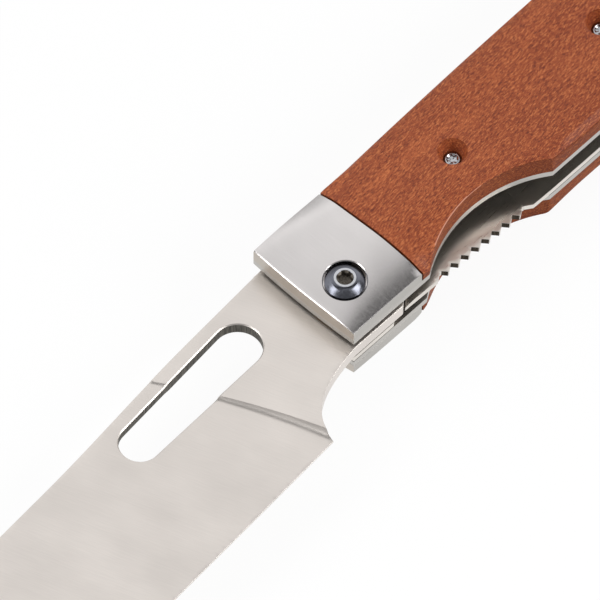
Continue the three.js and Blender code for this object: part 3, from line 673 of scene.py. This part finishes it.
def cover_shape(shift):
    outline = handle_outline(joint_end(JOINT_X + JOINT_GAP + JOINT_SHADOW), cut_out(shift))
    height = cover_height(shift)
    at_joint = outline[:, 0] < JOINT_X + JOINT_EDGE_REACH
    edge = smooth_edge(np.where(at_joint, COVER_JOINT_EDGE, COVER_EDGE))[:4]
    loops = [(outline, [*edge, (0, "bottom", 0)])]
    slope = (MOUTH_R - HEAD_HOLE_R) / (COVER_T - SCREW_HEAD_TOP)
    for x, y in COVER_SCREWS:
        top = float(height(np.array([[x, y]]))[0])
        mouth = HEAD_HOLE_R + (top - SCREW_HEAD_TOP) * slope
        loops.append((
            hole(x, y, mouth, 64),
            [
                *[(inset, "top", depth) for inset, depth in SCREW_MOUTH],
                (HEAD_HOLE_R - mouth, "at", SCREW_HEAD_TOP),
                (HEAD_HOLE_R - mouth, "at", SCREW_HEAD_FLOOR),
                (THROUGH_R - mouth, "at", SCREW_HEAD_FLOOR),
                (THROUGH_R - mouth, "bottom", 0),
            ],
        ))
    return skin(loops, height, level(0), *COVER_MESH)


# Plates


def polar(radius, angle):
    return radius * math.cos(math.radians(angle)), radius * math.sin(math.radians(angle))


def pin_holes(steps):
    return [
        (hole(x, y, LINER_PIN_R + PIN_CLEARANCE, steps), plain_edge())
        for x, y in spacer_pin_places()
    ]


def plate_holes():
    """Loops of the holes that go through every plate."""
    stop_x, stop_y = polar(STOP_PIN_REACH, STOP_PIN_ANGLE)
    places = [(0, 0, BARREL_HOLE_R), (stop_x, stop_y, STOP_PIN_R + CLEARANCE)]
    places += [(x, y, THROUGH_R) for x, y in COVER_SCREWS]
    return [(hole(x, y, r, 32), plain_edge()) for x, y, r in places] + pin_holes(32)


def plate_shape(outline, z, thickness, section):
    return skin([(outline, section), *plate_holes()], level(z + thickness), level(z))


def notch_y(x):
    return belly_y(x) + JIMP_DEPTH


def lock_plate_outline():
    """The handle's outline with the window for the lock bar cut into its belly."""
    window_top = BAR_INNER_Y + BAR_SLIT
    window_end = BAR_ROOT_X + JIMP_RAMP
    return joined(
        front_end(),
        arc(
            BAR_WINDOW_R,
            angle_at(BAR_WINDOW_R, BELLY_FRONT_Y),
            angle_at(BAR_WINDOW_R, window_top),
            20,
        ),
        (BAR_ROOT_X, window_top),
        (BAR_ROOT_X, notch_y(BAR_ROOT_X)),
        (window_end, belly_y(window_end)),
        (ARC_END_X, BELLY_REAR_Y),
        BUTT_BOTTOM[::-1],
        BUTT_TOP[::-1],
        SPINE_LINE[::-1],
    )


def lock_bar_outline():
    root = BAR_ROOT_X - BAR_ROOT_GAP
    jimping = [(root, notch_y(root))]
    for i in reversed(range(JIMP_TEETH)):
        tip = JIMP_FIRST_X + i * JIMP_PITCH
        jimping += [
            (tip + JIMP_TIP_W + JIMP_RAMP, notch_y(tip)),
            (tip + JIMP_TIP_W, belly_y(tip)),
            (tip, belly_y(tip)),
            (tip - JIMP_FLANK, notch_y(tip)),
        ]
    jimping += [(JIMP_START_X + JIMP_RAMP, notch_y(JIMP_START_X)), (JIMP_START_X, BELLY_FRONT_Y)]
    end = arc(
        BAR_END_R, angle_at(BAR_END_R, BELLY_FRONT_Y), angle_at(BAR_END_R, BAR_INNER_Y), 24
    )
    clockwise = joined(end, (root, BAR_INNER_Y), jimping)
    return clockwise[::-1]


def is_notch(middles, normals):
    """Whether these are the steep sides of the lock bar's teeth, which get painted shade."""
    behind_end = middles[:, 0] > JIMP_START_X + BAR_EDGE
    return (normals[:, 0] < -UPRIGHT) & (normals[:, 1] < -UPRIGHT) & behind_end


def lock_bar_shape():
    """The bar as it is sprung up behind the tang."""
    end_x = BAR_ROOT_X - BAR_REACH
    length, depth = BAR_CHAMFER

    def top(points):
        return BAR_T - depth * np.clip((end_x + length - points[:, 0]) / length, 0, None)

    outline = lock_bar_outline()
    at_root = outline[:, 0] > BAR_ROOT_X - 2 * BAR_ROOT_GAP
    edge = smooth_edge(np.where(at_root, BAR_ROOT_EDGE, BAR_EDGE), 2)
    verts, faces = skin([(outline, edge)], top, level(0), *BAR_MESH)
    verts = verts - [BAR_ROOT_X, 0, BAR_T / 2]
    turn = np.array(Matrix.Rotation(BAR_ANGLE, 3, "Y"))
    return verts @ turn.T + [BAR_ROOT_X, 0, BAR_AXIS_Z], faces


def spacer_shape():
    """The backspacer: a strip along the spine and round the butt."""
    spine = SPINE_LINE[SPINE_LINE[:, 0] > SPACER_START_X]
    outer = np.concatenate([spine, BUTT_TOP[1:]])
    run = np.gradient(outer, axis=0)
    run /= np.linalg.norm(run, axis=1)[:, None]
    inner = outer + np.column_stack([run[:, 1], -run[:, 0]]) * SPACER_W
    strip = (joined(inner, outer[::-1]), smooth_edge(SPACER_EDGE, 2))
    return skin([strip, *pin_holes(24)], level(SLOT_Z + SLOT_T), level(SLOT_Z))


# Blade


def tilted(points):
    """Points in the blade's own axes, in those of the knife."""
    x, y = np.atleast_2d(np.array(points, float)).T
    return np.column_stack([
        x * math.cos(TILT) - y * math.sin(TILT),
        x * math.sin(TILT) + y * math.cos(TILT),
    ])


def own_axes(points):
    x, y = points.T
    return (
        x * math.cos(TILT) + y * math.sin(TILT),
        -x * math.sin(TILT) + y * math.cos(TILT),
    )


PLUNGE = bezier(PLUNGE_POINTS, 60)


def plunge_step(y):
    """Depth of the flat grind at this height in the blade's own axes."""
    share = np.clip((y - BLADE_EDGE_Y) / (BLADE_SPINE_Y - BLADE_EDGE_Y), 0, 1)
    return PLUNGE_DEPTH + (BLADE_T / 2 - EDGE_HALF_T - PLUNGE_DEPTH) * (1 - share)


def fillet_width(y):
    return np.sqrt(2 * FILLET_R * plunge_step(y)) + FILLET_MARGIN


def blade_half(points):
    """Half the blade's thickness, with the flat grind and the fillet at its plunge line."""
    x, y = own_axes(points)
    ahead = np.interp(-y, -PLUNGE[:, 1], PLUNGE[:, 0]) - x
    left = np.clip(1 - ahead / fillet_width(y), 0, 1)
    return BLADE_T / 2 - np.where(ahead < 0, 0, plunge_step(y) * (1 - left**2))


def blade_outline():
    own = np.concatenate([
        [BLADE_START],
        bezier(SPINE_POINTS, 24),
        bezier(NOSE_POINTS, 48),
        bezier(EDGE_POINTS, 40)[1:],
        bezier(CHOIL_POINTS, 30)[1:],
    ])
    stop_angle = STOP_PIN_ANGLE + angle_at(STOP_PIN_REACH, STOP_PIN_R + CLEARANCE)
    tang = arc(TANG_R, angle_at(TANG_R, TANG_BELLY_Y), stop_angle, 48)
    return joined(tilted(own), tang, polar(STOP_FACE_R, stop_angle))


def opening_outline():
    """The thumb opening, clockwise, so that the blade is on its left."""
    (rear_x, rear_y, rear_r), (front_x, front_y, front_r) = OPENING_REAR, OPENING_FRONT
    slant = math.degrees(math.asin((rear_r - front_r) / (rear_x - front_x)))
    outline = np.concatenate([
        arc(rear_r, -90 - slant, 90 + slant, 40, rear_x, rear_y),
        arc(front_r, 90 + slant, 270 - slant, 40, front_x, front_y),
    ])
    return tilted(outline[::-1])


def is_opening_wall(middles, normals):
    """Whether these faces are the walls of the blade's thumb opening."""
    x, y = own_axes(middles[:, :2])
    (rear_x, _, rear_r), (front_x, front_y, _) = OPENING_REAR, OPENING_FRONT
    reach = 1.2 * rear_r
    near = (x > front_x - reach) & (x < rear_x + reach) & (np.abs(y - front_y) < reach)
    return near & (np.abs(normals[:, 2]) < UPRIGHT)


def blade_shape():
    outline = dense(blade_outline(), BLADE_MESH[1])
    half = blade_half(moved_in(outline, 2 * BLADE_EDGE))
    section = smooth_edge(np.minimum(BLADE_EDGE, half * BLADE_EDGE_SHARE))
    opening = opening_outline()
    width = fillet_width(PLUNGE[:, 1])
    middle = BLADE_Z + BLADE_T / 2
    lines = []
    for share in PLUNGE_ROWS:
        line = tilted(PLUNGE - np.column_stack([width * share, np.zeros(len(width))]))
        clear = distance_to(line, [outline, opening]) > PLUNGE_ROW_GAP
        clear &= inside(line, [outline, opening])
        breaks = np.flatnonzero(np.diff(clear.astype(int))) + 1
        lines += [
            part
            for part, kept in zip(np.split(line, breaks), np.split(clear, breaks))
            if kept[0] and len(part) > 1
        ]
    return skin(
        [
            (outline, section),
            (opening, cut_edge(OPENING_EDGE)),
            (hole(0, 0, BARREL_HOLE_R, 40), plain_edge()),
        ],
        lambda points: middle + blade_half(points),
        lambda points: middle - blade_half(points),
        *BLADE_MESH,
        lines,
        both=True,
    )


# Pivot and fasteners


def dome(floor, top):
    """Rings of the pivot's head, from its floor to the edge of its flat top."""
    rim = floor + PIVOT_RIM_H
    rings = [
        (PIVOT_HEAD_R - HEAD_CHAMFER, floor),
        (PIVOT_HEAD_R, floor + HEAD_CHAMFER),
        (PIVOT_HEAD_R, rim - 0.06),
    ]
    for t in np.linspace(0, 1, 15):
        radius = PIVOT_HEAD_R + (PIVOT_FLAT_R - PIVOT_HEAD_R) * t
        rings.append((radius, rim + (top - rim) * math.sin(t * math.pi / 2)))
    return rings


def socket_rings(top, radius, depth):
    """Rings of a six-lobed socket, from its round mouth to its floor."""
    width, drop = SOCKET_MOUTH
    return [
        (radius + width, top),
        (radius, top - drop),
        (six_lobes(radius * 0.97), top - 0.2 * radius),
        (six_lobes(radius * 0.95), top - depth),
        (six_lobes(radius * 0.6), top - depth - drop),
        (radius * 0.3, top - depth - 3 * drop),
    ]


def is_rim(middles, normals):
    """Whether these faces are the flat ring round the pivot screw's socket."""
    near = np.hypot(middles[:, 0], middles[:, 1]) < PIVOT_FLAT_R + RIM_MARGIN
    return near & (middles[:, 2] > TOP_Z - RIM_DEPTH) & (normals[:, 2] > SHEER)


def is_socket(middles, normals):
    """Whether these faces are in the pivot screw's socket."""
    near = np.hypot(middles[:, 0], middles[:, 1]) < PIVOT_SOCKET[0]
    z = middles[:, 2]
    return near & (z < TOP_Z - RIM_DEPTH) & (z > FRONT_COVER_Z + PIVOT_FLOOR)


def pivot_screw_shape():
    floor = FRONT_COVER_Z + PIVOT_FLOOR
    return spun([
        (PIVOT_SHANK_R - SHANK_CHAMFER, floor - PIVOT_SHANK_L),
        (PIVOT_SHANK_R, floor - PIVOT_SHANK_L + SHANK_CHAMFER),
        (PIVOT_SHANK_R, floor),
        *dome(floor, TOP_Z),
        *socket_rings(TOP_Z, *PIVOT_SOCKET),
    ])


def pivot_barrel_shape():
    """The barrel's domed head in the back bolster, and the barrel. It is turned upside down."""
    floor = TOP_Z - (COVER_T - PIVOT_FLOOR)
    start = TOP_Z - FRONT_COVER_Z - PIVOT_FLOOR
    shape = spun([
        (BARREL_BORE_R, start + PIVOT_SHANK_L),
        (BARREL_BORE_R, start),
        (BARREL_R, start),
        (BARREL_R, floor),
        *dome(floor, TOP_Z),
        (PIVOT_FLAT_R * 0.5, TOP_Z),
    ])
    return raised(turned_over(shape), TOP_Z)


def cover_screw_shape(x, y, reach):
    top, floor = SCREW_HEAD_TOP, SCREW_HEAD_FLOOR
    return spun([
        (SCREW_SHANK_R - SHANK_CHAMFER, -reach),
        (SCREW_SHANK_R, SHANK_CHAMFER - reach),
        (SCREW_SHANK_R, floor),
        (SCREW_HEAD_R - SCREW_HEAD_CHAMFER, floor),
        (SCREW_HEAD_R, floor + SCREW_HEAD_CHAMFER),
        (SCREW_HEAD_R, top - SCREW_HEAD_ROUND),
        (SCREW_HEAD_R - SCREW_HEAD_CHAMFER, top - SCREW_HEAD_CHAMFER - 0.01),
        (SCREW_HEAD_R - SCREW_HEAD_ROUND, top),
        *socket_rings(top, *SCREW_SOCKET),
    ], x, y, 72)


# Materials


class Look:
    """A node material in the making. Its textures use the piece's own axes, in metres."""

    def __init__(self, name, colour, metallic, roughness, **sockets):
        self.material = bpy.data.materials.new(name)
        self.material.use_nodes = True
        self.tree = self.material.node_tree
        self.shader = self.tree.nodes["Principled BSDF"]
        self.place = self.tree.nodes.new("ShaderNodeTexCoord").outputs["Object"]
        self.shader.inputs["Base Color"].default_value = rgb(colour)
        self.shader.inputs["Metallic"].default_value = metallic
        self.shader.inputs["Roughness"].default_value = roughness
        for socket, value in sockets.items():
            self.shader.inputs[socket.replace("_", " ")].default_value = value

    def link(self, out, into):
        self.tree.links.new(out, into)

    def noise(self, size, turn=0.0, detail=4.0, rough=0.55, distortion=0.0):
        """Noise with features of this size, in millimetres along each axis."""
        mapping = self.tree.nodes.new("ShaderNodeMapping")
        mapping.vector_type = "TEXTURE"
        mapping.inputs["Rotation"].default_value = (0, 0, math.radians(turn))
        mapping.inputs["Scale"].default_value = [s * MM for s in size]
        texture = self.tree.nodes.new("ShaderNodeTexNoise")
        texture.inputs["Scale"].default_value = 1.0
        texture.inputs["Detail"].default_value = detail
        texture.inputs["Roughness"].default_value = rough
        texture.inputs["Distortion"].default_value = distortion
        self.link(self.place, mapping.inputs["Vector"])
        self.link(mapping.outputs["Vector"], texture.inputs["Vector"])
        return texture.outputs["Fac"]

    def spread(self, value, low, high, to_low=0.0, to_high=1.0):
        """The value's stretch from low to high, moved to another one."""
        node = self.tree.nodes.new("ShaderNodeMapRange")
        for socket, number in zip(
            ("From Min", "From Max", "To Min", "To Max"), (low, high, to_low, to_high)
        ):
            node.inputs[socket].default_value = number
        self.link(value, node.inputs["Value"])
        return node.outputs["Result"]

    def mix(self, factor, a, b, blend="MIX"):
        node = self.tree.nodes.new("ShaderNodeMix")
        node.data_type = "RGBA"
        node.blend_type = blend
        for socket, value in ((node.inputs[0], factor), (node.inputs[6], a), (node.inputs[7], b)):
            if isinstance(value, bpy.types.NodeSocket):
                self.link(value, socket)
            else:
                socket.default_value = value
        return node.outputs[2]

    def bump(self, value, depth, strength=1.0, under=None):
        """A bump with this depth in millimetres."""
        node = self.tree.nodes.new("ShaderNodeBump")
        node.inputs["Distance"].default_value = depth * MM
        node.inputs["Strength"].default_value = strength
        self.link(value, node.inputs["Height"])
        if under:
            self.link(under, node.inputs["Normal"])
        return node.outputs["Normal"]

    def use(self, colour=None, roughness=None, normal=None):
        for name, out in (("Base Color", colour), ("Roughness", roughness), ("Normal", normal)):
            if out:
                self.link(out, self.shader.inputs[name])
        return self.material


def rgb(colour):
    """An sRGB colour, 0 to 255, as linear RGBA."""
    parts = [c / 255 for c in colour]
    return [p / 12.92 if p <= 0.04045 else ((p + 0.055) / 1.055) ** 2.4 for p in parts] + [1.0]


def darker(colour, share):
    return [c * share for c in colour]


def brushed_steel(name, colour, roughness, grain, turn, bump=0.004):
    """Satin steel with faint clouds, and a grain this long, wide and deep in millimetres and
    turned by this many degrees."""
    look = Look(name, colour, 1.0, roughness)
    white, swing = (255, 255, 255), 0.05
    length, width = grain
    lines = look.noise((length, width, width), turn, detail=5.0, rough=0.6)
    clouds = look.noise((14, 9, 9), turn, detail=2.0, rough=0.5)
    tone = look.mix(look.spread(clouds, 0.3, 0.7), rgb(darker(colour, 0.96)), rgb(colour))
    fine = look.mix(look.spread(lines, 0.3, 0.7), rgb(darker(white, 0.97)), rgb(white))
    tone = look.mix(1.0, tone, fine, "MULTIPLY")
    rough = look.spread(lines, 0.25, 0.75, roughness - swing, roughness + swing)
    return look.use(tone, rough, look.bump(lines, bump))


def polished_steel(name, colour, roughness, around=False):
    """Bright steel with faint wipe marks, or turned around the pivot's axis."""
    look = Look(name, colour, 1.0, roughness, Anisotropic=0.85 if around else 0.0)
    marks = look.noise((0.5, 0.5, 0.5), detail=3.0, rough=0.6)
    rough = look.spread(marks, 0.3, 0.7, roughness - 0.04, roughness + 0.06)
    tone = look.mix(look.spread(marks, 0.35, 0.65), rgb(darker(colour, 0.93)), rgb(colour))
    if around:
        tangent = look.tree.nodes.new("ShaderNodeTangent")
        tangent.direction_type = "RADIAL"
        tangent.axis = "Z"
        look.link(tangent.outputs["Tangent"], look.shader.inputs["Tangent"])
    return look.use(tone, rough, look.bump(marks, 0.002))


def rough_steel(name, colour):
    """Dull milled steel, with marks across the wall. The lock bar's notches use it in a dark brown
    as painted shade.
    """
    look = Look(name, colour, 1.0, 0.6)
    marks = look.noise((0.25, 0.25, 6.0), rough=0.7)
    tone = look.mix(look.spread(marks, 0.35, 0.7), rgb(darker(colour, 0.45)), rgb(colour))
    return look.use(tone, None, look.bump(marks, 0.01))


def rosewood(name, shade=1.0, shine=0.3):
    """Oiled reddish wood, with its grain, short flecks and dark pores along the handle. Its
    colours are these times shade."""
    look = Look(name, (166, 92, 60), 0.0, 0.5, Specular_IOR_Level=shine)

    def brown(*colour):
        return rgb([min(c * shade, 255) for c in colour])

    bands = look.noise((50, 5.0, 5.0), turn=2.0, detail=3.0, distortion=0.6)
    grain = look.noise((9, 0.6, 0.6), turn=3.0, rough=0.6, distortion=0.4)
    flecks = look.noise((0.95, 0.26, 0.26), turn=6.0, rough=0.7, distortion=0.5)
    pores = look.noise((0.8, 0.2, 0.2), turn=-4.0, detail=2.0, rough=0.6)
    tone = look.mix(look.spread(bands, 0.32, 0.68), brown(150, 70, 38), brown(180, 94, 54))
    tone = look.mix(look.spread(grain, 0.35, 0.72, 0.0, 0.5), tone, brown(128, 54, 30))
    tone = look.mix(look.spread(flecks, 0.52, 0.62, 0.0, 0.75), tone, brown(214, 128, 76))
    tone = look.mix(look.spread(flecks, 0.47, 0.37, 0.0, 0.8), tone, brown(100, 40, 25))
    tone = look.mix(look.spread(pores, 0.6, 0.7, 0.0, 0.8), tone, brown(66, 30, 24))
    rough = look.spread(flecks, 0.3, 0.7, 0.42, 0.58)
    normal = look.bump(flecks, depth=0.02, strength=0.5)
    surface = look.spread(pores, 0.6, 0.7, 1.0, 0.0)
    normal = look.bump(surface, depth=0.03, strength=0.8, under=normal)
    return look.use(tone, rough, normal)


# Stage

FLOOR_SIDE = 3.0  # m, from the middle
FLOOR_Z = -0.2
FLOOR_GREY = 0.86
FLOOR_ROUGHNESS = 0.9
FLOOR_GLOW = 1.02
FLOOR_GLOW_SHARE = 0.9  # the rest shows the knife's shadow

# The camera stands far off, and its view is this wide at the knife
CAMERA_DISTANCE = 5.0  # m
CAMERA_VIEW_W = 0.1167  # m
CAMERA_AZIMUTH = math.radians(46.1)
CAMERA_HEIGHT = math.radians(57.14)
CAMERA_AIM = (-9.525, 2.985, 18.9)

# Strength of the sky along this way: (share of the way, from -1 to 1, strength)
SKY_WAY = (0.6, 1.0, 0.0)
SKY = [
    (-1.0, 0.28), (-0.23, 0.34), (-0.06, 0.03),
    (0.1, 0.03), (0.15, 0.72), (0.31, 0.85),
    (0.55, 1.12), (0.74, 1.05), (1.0, 0.45),
]


def floor_look():
    """Pale floor that the camera and the metal see as near white, with a faint shadow."""
    material = bpy.data.materials.new("studio_floor")
    material.use_nodes = True
    tree = material.node_tree
    diffuse = tree.nodes["Principled BSDF"]
    diffuse.inputs["Base Color"].default_value = (*[FLOOR_GREY] * 3, 1)
    diffuse.inputs["Roughness"].default_value = FLOOR_ROUGHNESS
    glow = tree.nodes.new("ShaderNodeEmission")
    glow.inputs["Color"].default_value = (1, 1, 1, 1)
    glow.inputs["Strength"].default_value = FLOOR_GLOW
    path = tree.nodes.new("ShaderNodeLightPath")
    seen = path.outputs["Is Camera Ray"]
    for name in ("Is Glossy Ray", "Is Transmission Ray"):
        either = tree.nodes.new("ShaderNodeMath")
        either.operation = "MAXIMUM"
        tree.links.new(seen, either.inputs[0])
        tree.links.new(path.outputs[name], either.inputs[1])
        seen = either.outputs[0]
    share = tree.nodes.new("ShaderNodeMath")
    share.operation = "MULTIPLY"
    share.inputs[1].default_value = FLOOR_GLOW_SHARE
    tree.links.new(seen, share.inputs[0])
    mixed = tree.nodes.new("ShaderNodeMixShader")
    tree.links.new(share.outputs[0], mixed.inputs[0])
    tree.links.new(diffuse.outputs[0], mixed.inputs[1])
    tree.links.new(glow.outputs[0], mixed.inputs[2])
    tree.links.new(mixed.outputs[0], tree.nodes["Material Output"].inputs["Surface"])
    return material


def camera_stand():
    """A long lens from the photograph's side, almost without perspective."""
    back = Vector((
        -math.sin(CAMERA_AZIMUTH) * math.cos(CAMERA_HEIGHT),
        -math.cos(CAMERA_AZIMUTH) * math.cos(CAMERA_HEIGHT),
        math.sin(CAMERA_HEIGHT),
    ))
    data = bpy.data.cameras.new("camera")
    data.sensor_width = 36.0
    data.lens = data.sensor_width * CAMERA_DISTANCE / CAMERA_VIEW_W
    data.clip_start = 0.1
    data.clip_end = 20.0
    camera = bpy.data.objects.new("camera", data)
    camera.location = Vector(CAMERA_AIM) * MM + back * CAMERA_DISTANCE
    camera.rotation_euler = (-back).to_track_quat("-Z", "Y").to_euler()
    bpy.context.scene.collection.objects.link(camera)
    bpy.context.scene.camera = camera


def softbox(name, direction, distance, side, power):
    """A square lamp that shines at the origin from this direction and distance."""
    data = bpy.data.lights.new(name, "AREA")
    data.shape = "SQUARE"
    data.size = side
    data.energy = power
    light = bpy.data.objects.new(name, data)
    way = Vector(direction).normalized()
    light.location = way * distance
    light.rotation_euler = (-way).to_track_quat("-Z", "Y").to_euler()
    light.visible_camera = False
    bpy.context.scene.collection.objects.link(light)


def sky():
    """Soft light all round, whose strength changes along one way."""
    world = bpy.data.worlds.new("studio")
    bpy.context.scene.world = world
    world.use_nodes = True
    tree = world.node_tree
    background = tree.nodes["Background"]
    way = tree.nodes.new("ShaderNodeTexCoord").outputs["Generated"]
    share = tree.nodes.new("ShaderNodeVectorMath")
    share.operation = "DOT_PRODUCT"
    share.inputs[1].default_value = Vector(SKY_WAY).normalized()
    place = tree.nodes.new("ShaderNodeMapRange")
    place.inputs["From Min"].default_value = -1.0
    place.inputs["From Max"].default_value = 1.0
    ramp = tree.nodes.new("ShaderNodeValToRGB")
    stops = ramp.color_ramp.elements
    while len(stops) < len(SKY):
        stops.new(0.5)
    brightest = max(strength for _, strength in SKY)
    for stop, (reach, strength) in zip(stops, SKY):
        stop.position = (reach + 1) / 2
        stop.color = (*[strength / brightest] * 3, 1.0)
    tree.links.new(way, share.inputs[0])
    tree.links.new(share.outputs["Value"], place.inputs["Value"])
    tree.links.new(place.outputs["Result"], ramp.inputs["Fac"])
    tree.links.new(ramp.outputs["Color"], background.inputs["Color"])
    background.inputs["Strength"].default_value = brightest


def studio():
    sky()
    softbox("right_light", direction=(0.4, -0.72, 0.56), distance=1.1, side=0.6, power=6.5)
    softbox("left_light", direction=(-0.78, 0.36, 0.52), distance=1.1, side=0.5, power=4.0)
    mesh = bpy.data.meshes.new("floor")
    corners = [(-1, -1), (1, -1), (1, 1), (-1, 1)]
    mesh.from_pydata(
        [(x * FLOOR_SIDE, y * FLOOR_SIDE, FLOOR_Z * MM) for x, y in corners], [], [(0, 1, 2, 3)]
    )
    mesh.materials.append(floor_look())
    floor = bpy.data.objects.new("floor", mesh)
    bpy.context.scene.collection.objects.link(floor)


# Assembly


def dress_carried_nodes(finish, *names):
    """CAD nodes whose shape is right, with a better material."""
    for name in names:
        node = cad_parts[name]
        node.data.materials.clear()
        node.data.materials.append(finish)


def assemble():
    coarse = {"grain": (10, 0.3), "turn": 4}
    blade_steel = brushed_steel("blade_steel", (234, 227, 221), 0.4, grain=(7, 0.22), turn=110)
    bolster_steel = brushed_steel(
        "bolster_steel", (221, 217, 216), 0.22, grain=(5, 0.2), turn=90, bump=0.006
    )
    # The bolsters' sides and front end have a coarser grain of their own. Their darker, warmer tone
    # is painted shade.
    bolster_side_grain_and_shade = brushed_steel("bolster_side_grain_and_shade", (190, 187, 182), 0.36, grain=(8, 0.25), turn=0)
    bolster_front = brushed_steel("bolster_front", (198, 190, 180), 0.36, grain=(8, 0.25), turn=90)
    plate_steel = brushed_steel("plate_steel", (196, 193, 188), 0.36, **coarse)
    # Painted shade: the teeth's steep sides are dark brown, as if they lay in shade
    notch_shade_steel = rough_steel("notch_shade_steel", (88, 79, 68))
    milled_steel = rough_steel("milled_steel", (128, 124, 116))
    fastener = polished_steel("fastener_steel", (200, 201, 205), 0.18)
    bar_steel = brushed_steel("bar_steel", (232, 226, 218), 0.3, bump=0.001, **coarse)
    # Painted shade: the pivot heads' domes are a dark blue-grey, standing for the dark that they
    # reflect
    turned_steel_painted_shade = polished_steel("turned_steel_painted_shade", (118, 120, 129), 0.2, around=True)
    socket_steel = rough_steel("socket_steel", (150, 142, 132))
    bronze = polished_steel("washer_bronze", (176, 142, 96), 0.4)
    spacer_steel = brushed_steel("spacer_steel", (150, 148, 145), 0.5, **coarse)
    wood = rosewood("rosewood")
    # The covers' walls are darker: partly the end grain, partly painted shade
    grain_and_shade_wall_wood = rosewood("rosewood_wall_end_grain_and_shade", shade=0.84, shine=0.08)
    # Painted highlight: pale pink wood on the rounded edge over the cut-out's arc
    painted_highlight_wood = Look("painted_highlight_wood", (206, 140, 112), metallic=0.0, roughness=0.5).use()

    make_piece("blade_leaf", blade_shape(), blade_steel, "blade", "blade", "blade",
               parts=[(milled_steel, is_opening_wall)])
    sides = (
        ("front", 0.0, lambda shape: raised(shape, FRONT_COVER_Z), FRONT_LINER_Z),
        ("back", BACK_ARC_SHIFT, lambda shape: raised(turned_over(shape), BACK_LINER_Z),
         BACK_LINER_Z),
    )
    for side, shift, placed, liner_z in sides:
        make_piece(f"bolster_{side}", placed(bolster_shape(shift)), bolster_steel,
                   "handle", "bolster", f"{side}_bolster",
                   parts=[(bolster_side_grain_and_shade, is_side), (bolster_front, is_front)])
        make_piece(f"cover_{side}", placed(cover_shape(shift)), wood,
                   "handle", "wood", f"{side}_scale",
                   parts=[(grain_and_shade_wall_wood, is_cut_wall), (painted_highlight_wood, is_highlight_edge)])
        outline = handle_outline(front_end(), cut_out(shift))
        liner = plate_shape(outline, liner_z, LINER_T, smooth_edge(PLATE_EDGE, 2))
        make_piece(f"liner_{side}", liner, plate_steel, "handle", "plate", f"{side}_liner")
        reach = LINER_T if side == "front" else 2 * LINER_T
        for i, (x, y) in enumerate(COVER_SCREWS, 1):
            make_piece(f"cover_screw_{side}_{i}", placed(cover_screw_shape(x, y, reach)),
                       fastener, "handle", "fastener", f"{side}_scale_screw_{i}")
    edge = grooved_edge(PLATE_EDGE, *PLATE_GROOVE)
    make_piece("plate_lock", plate_shape(lock_plate_outline(), LOCK_PLATE_Z, LINER_T, edge),
               bar_steel, "handle", "plate", "lock_plate")
    make_piece("bar_lock", lock_bar_shape(), bar_steel, "lock_bar", "plate", "lock_bar",
               parts=[(notch_shade_steel, is_notch)])
    make_piece("spacer", spacer_shape(), spacer_steel, "handle", "spacer", "backspacer")
    make_piece("pivot_head", pivot_screw_shape(), turned_steel_painted_shade,
               "handle", "fastener", "pivot_screw",
               parts=[(fastener, is_rim), (socket_steel, is_socket)])
    make_piece("pivot_sleeve", pivot_barrel_shape(), turned_steel_painted_shade,
               "handle", "fastener", "pivot_barrel")
    dress_carried_nodes(bronze, "front_washer", "back_washer")
    pins = [f"liner_pin_{i}" for i in range(1, 5)]
    dress_carried_nodes(fastener, "stop_pin", "detent_ball", *pins)


assemble()
camera_stand()
studio()
bpy.context.scene.view_settings.view_transform = "Standard"
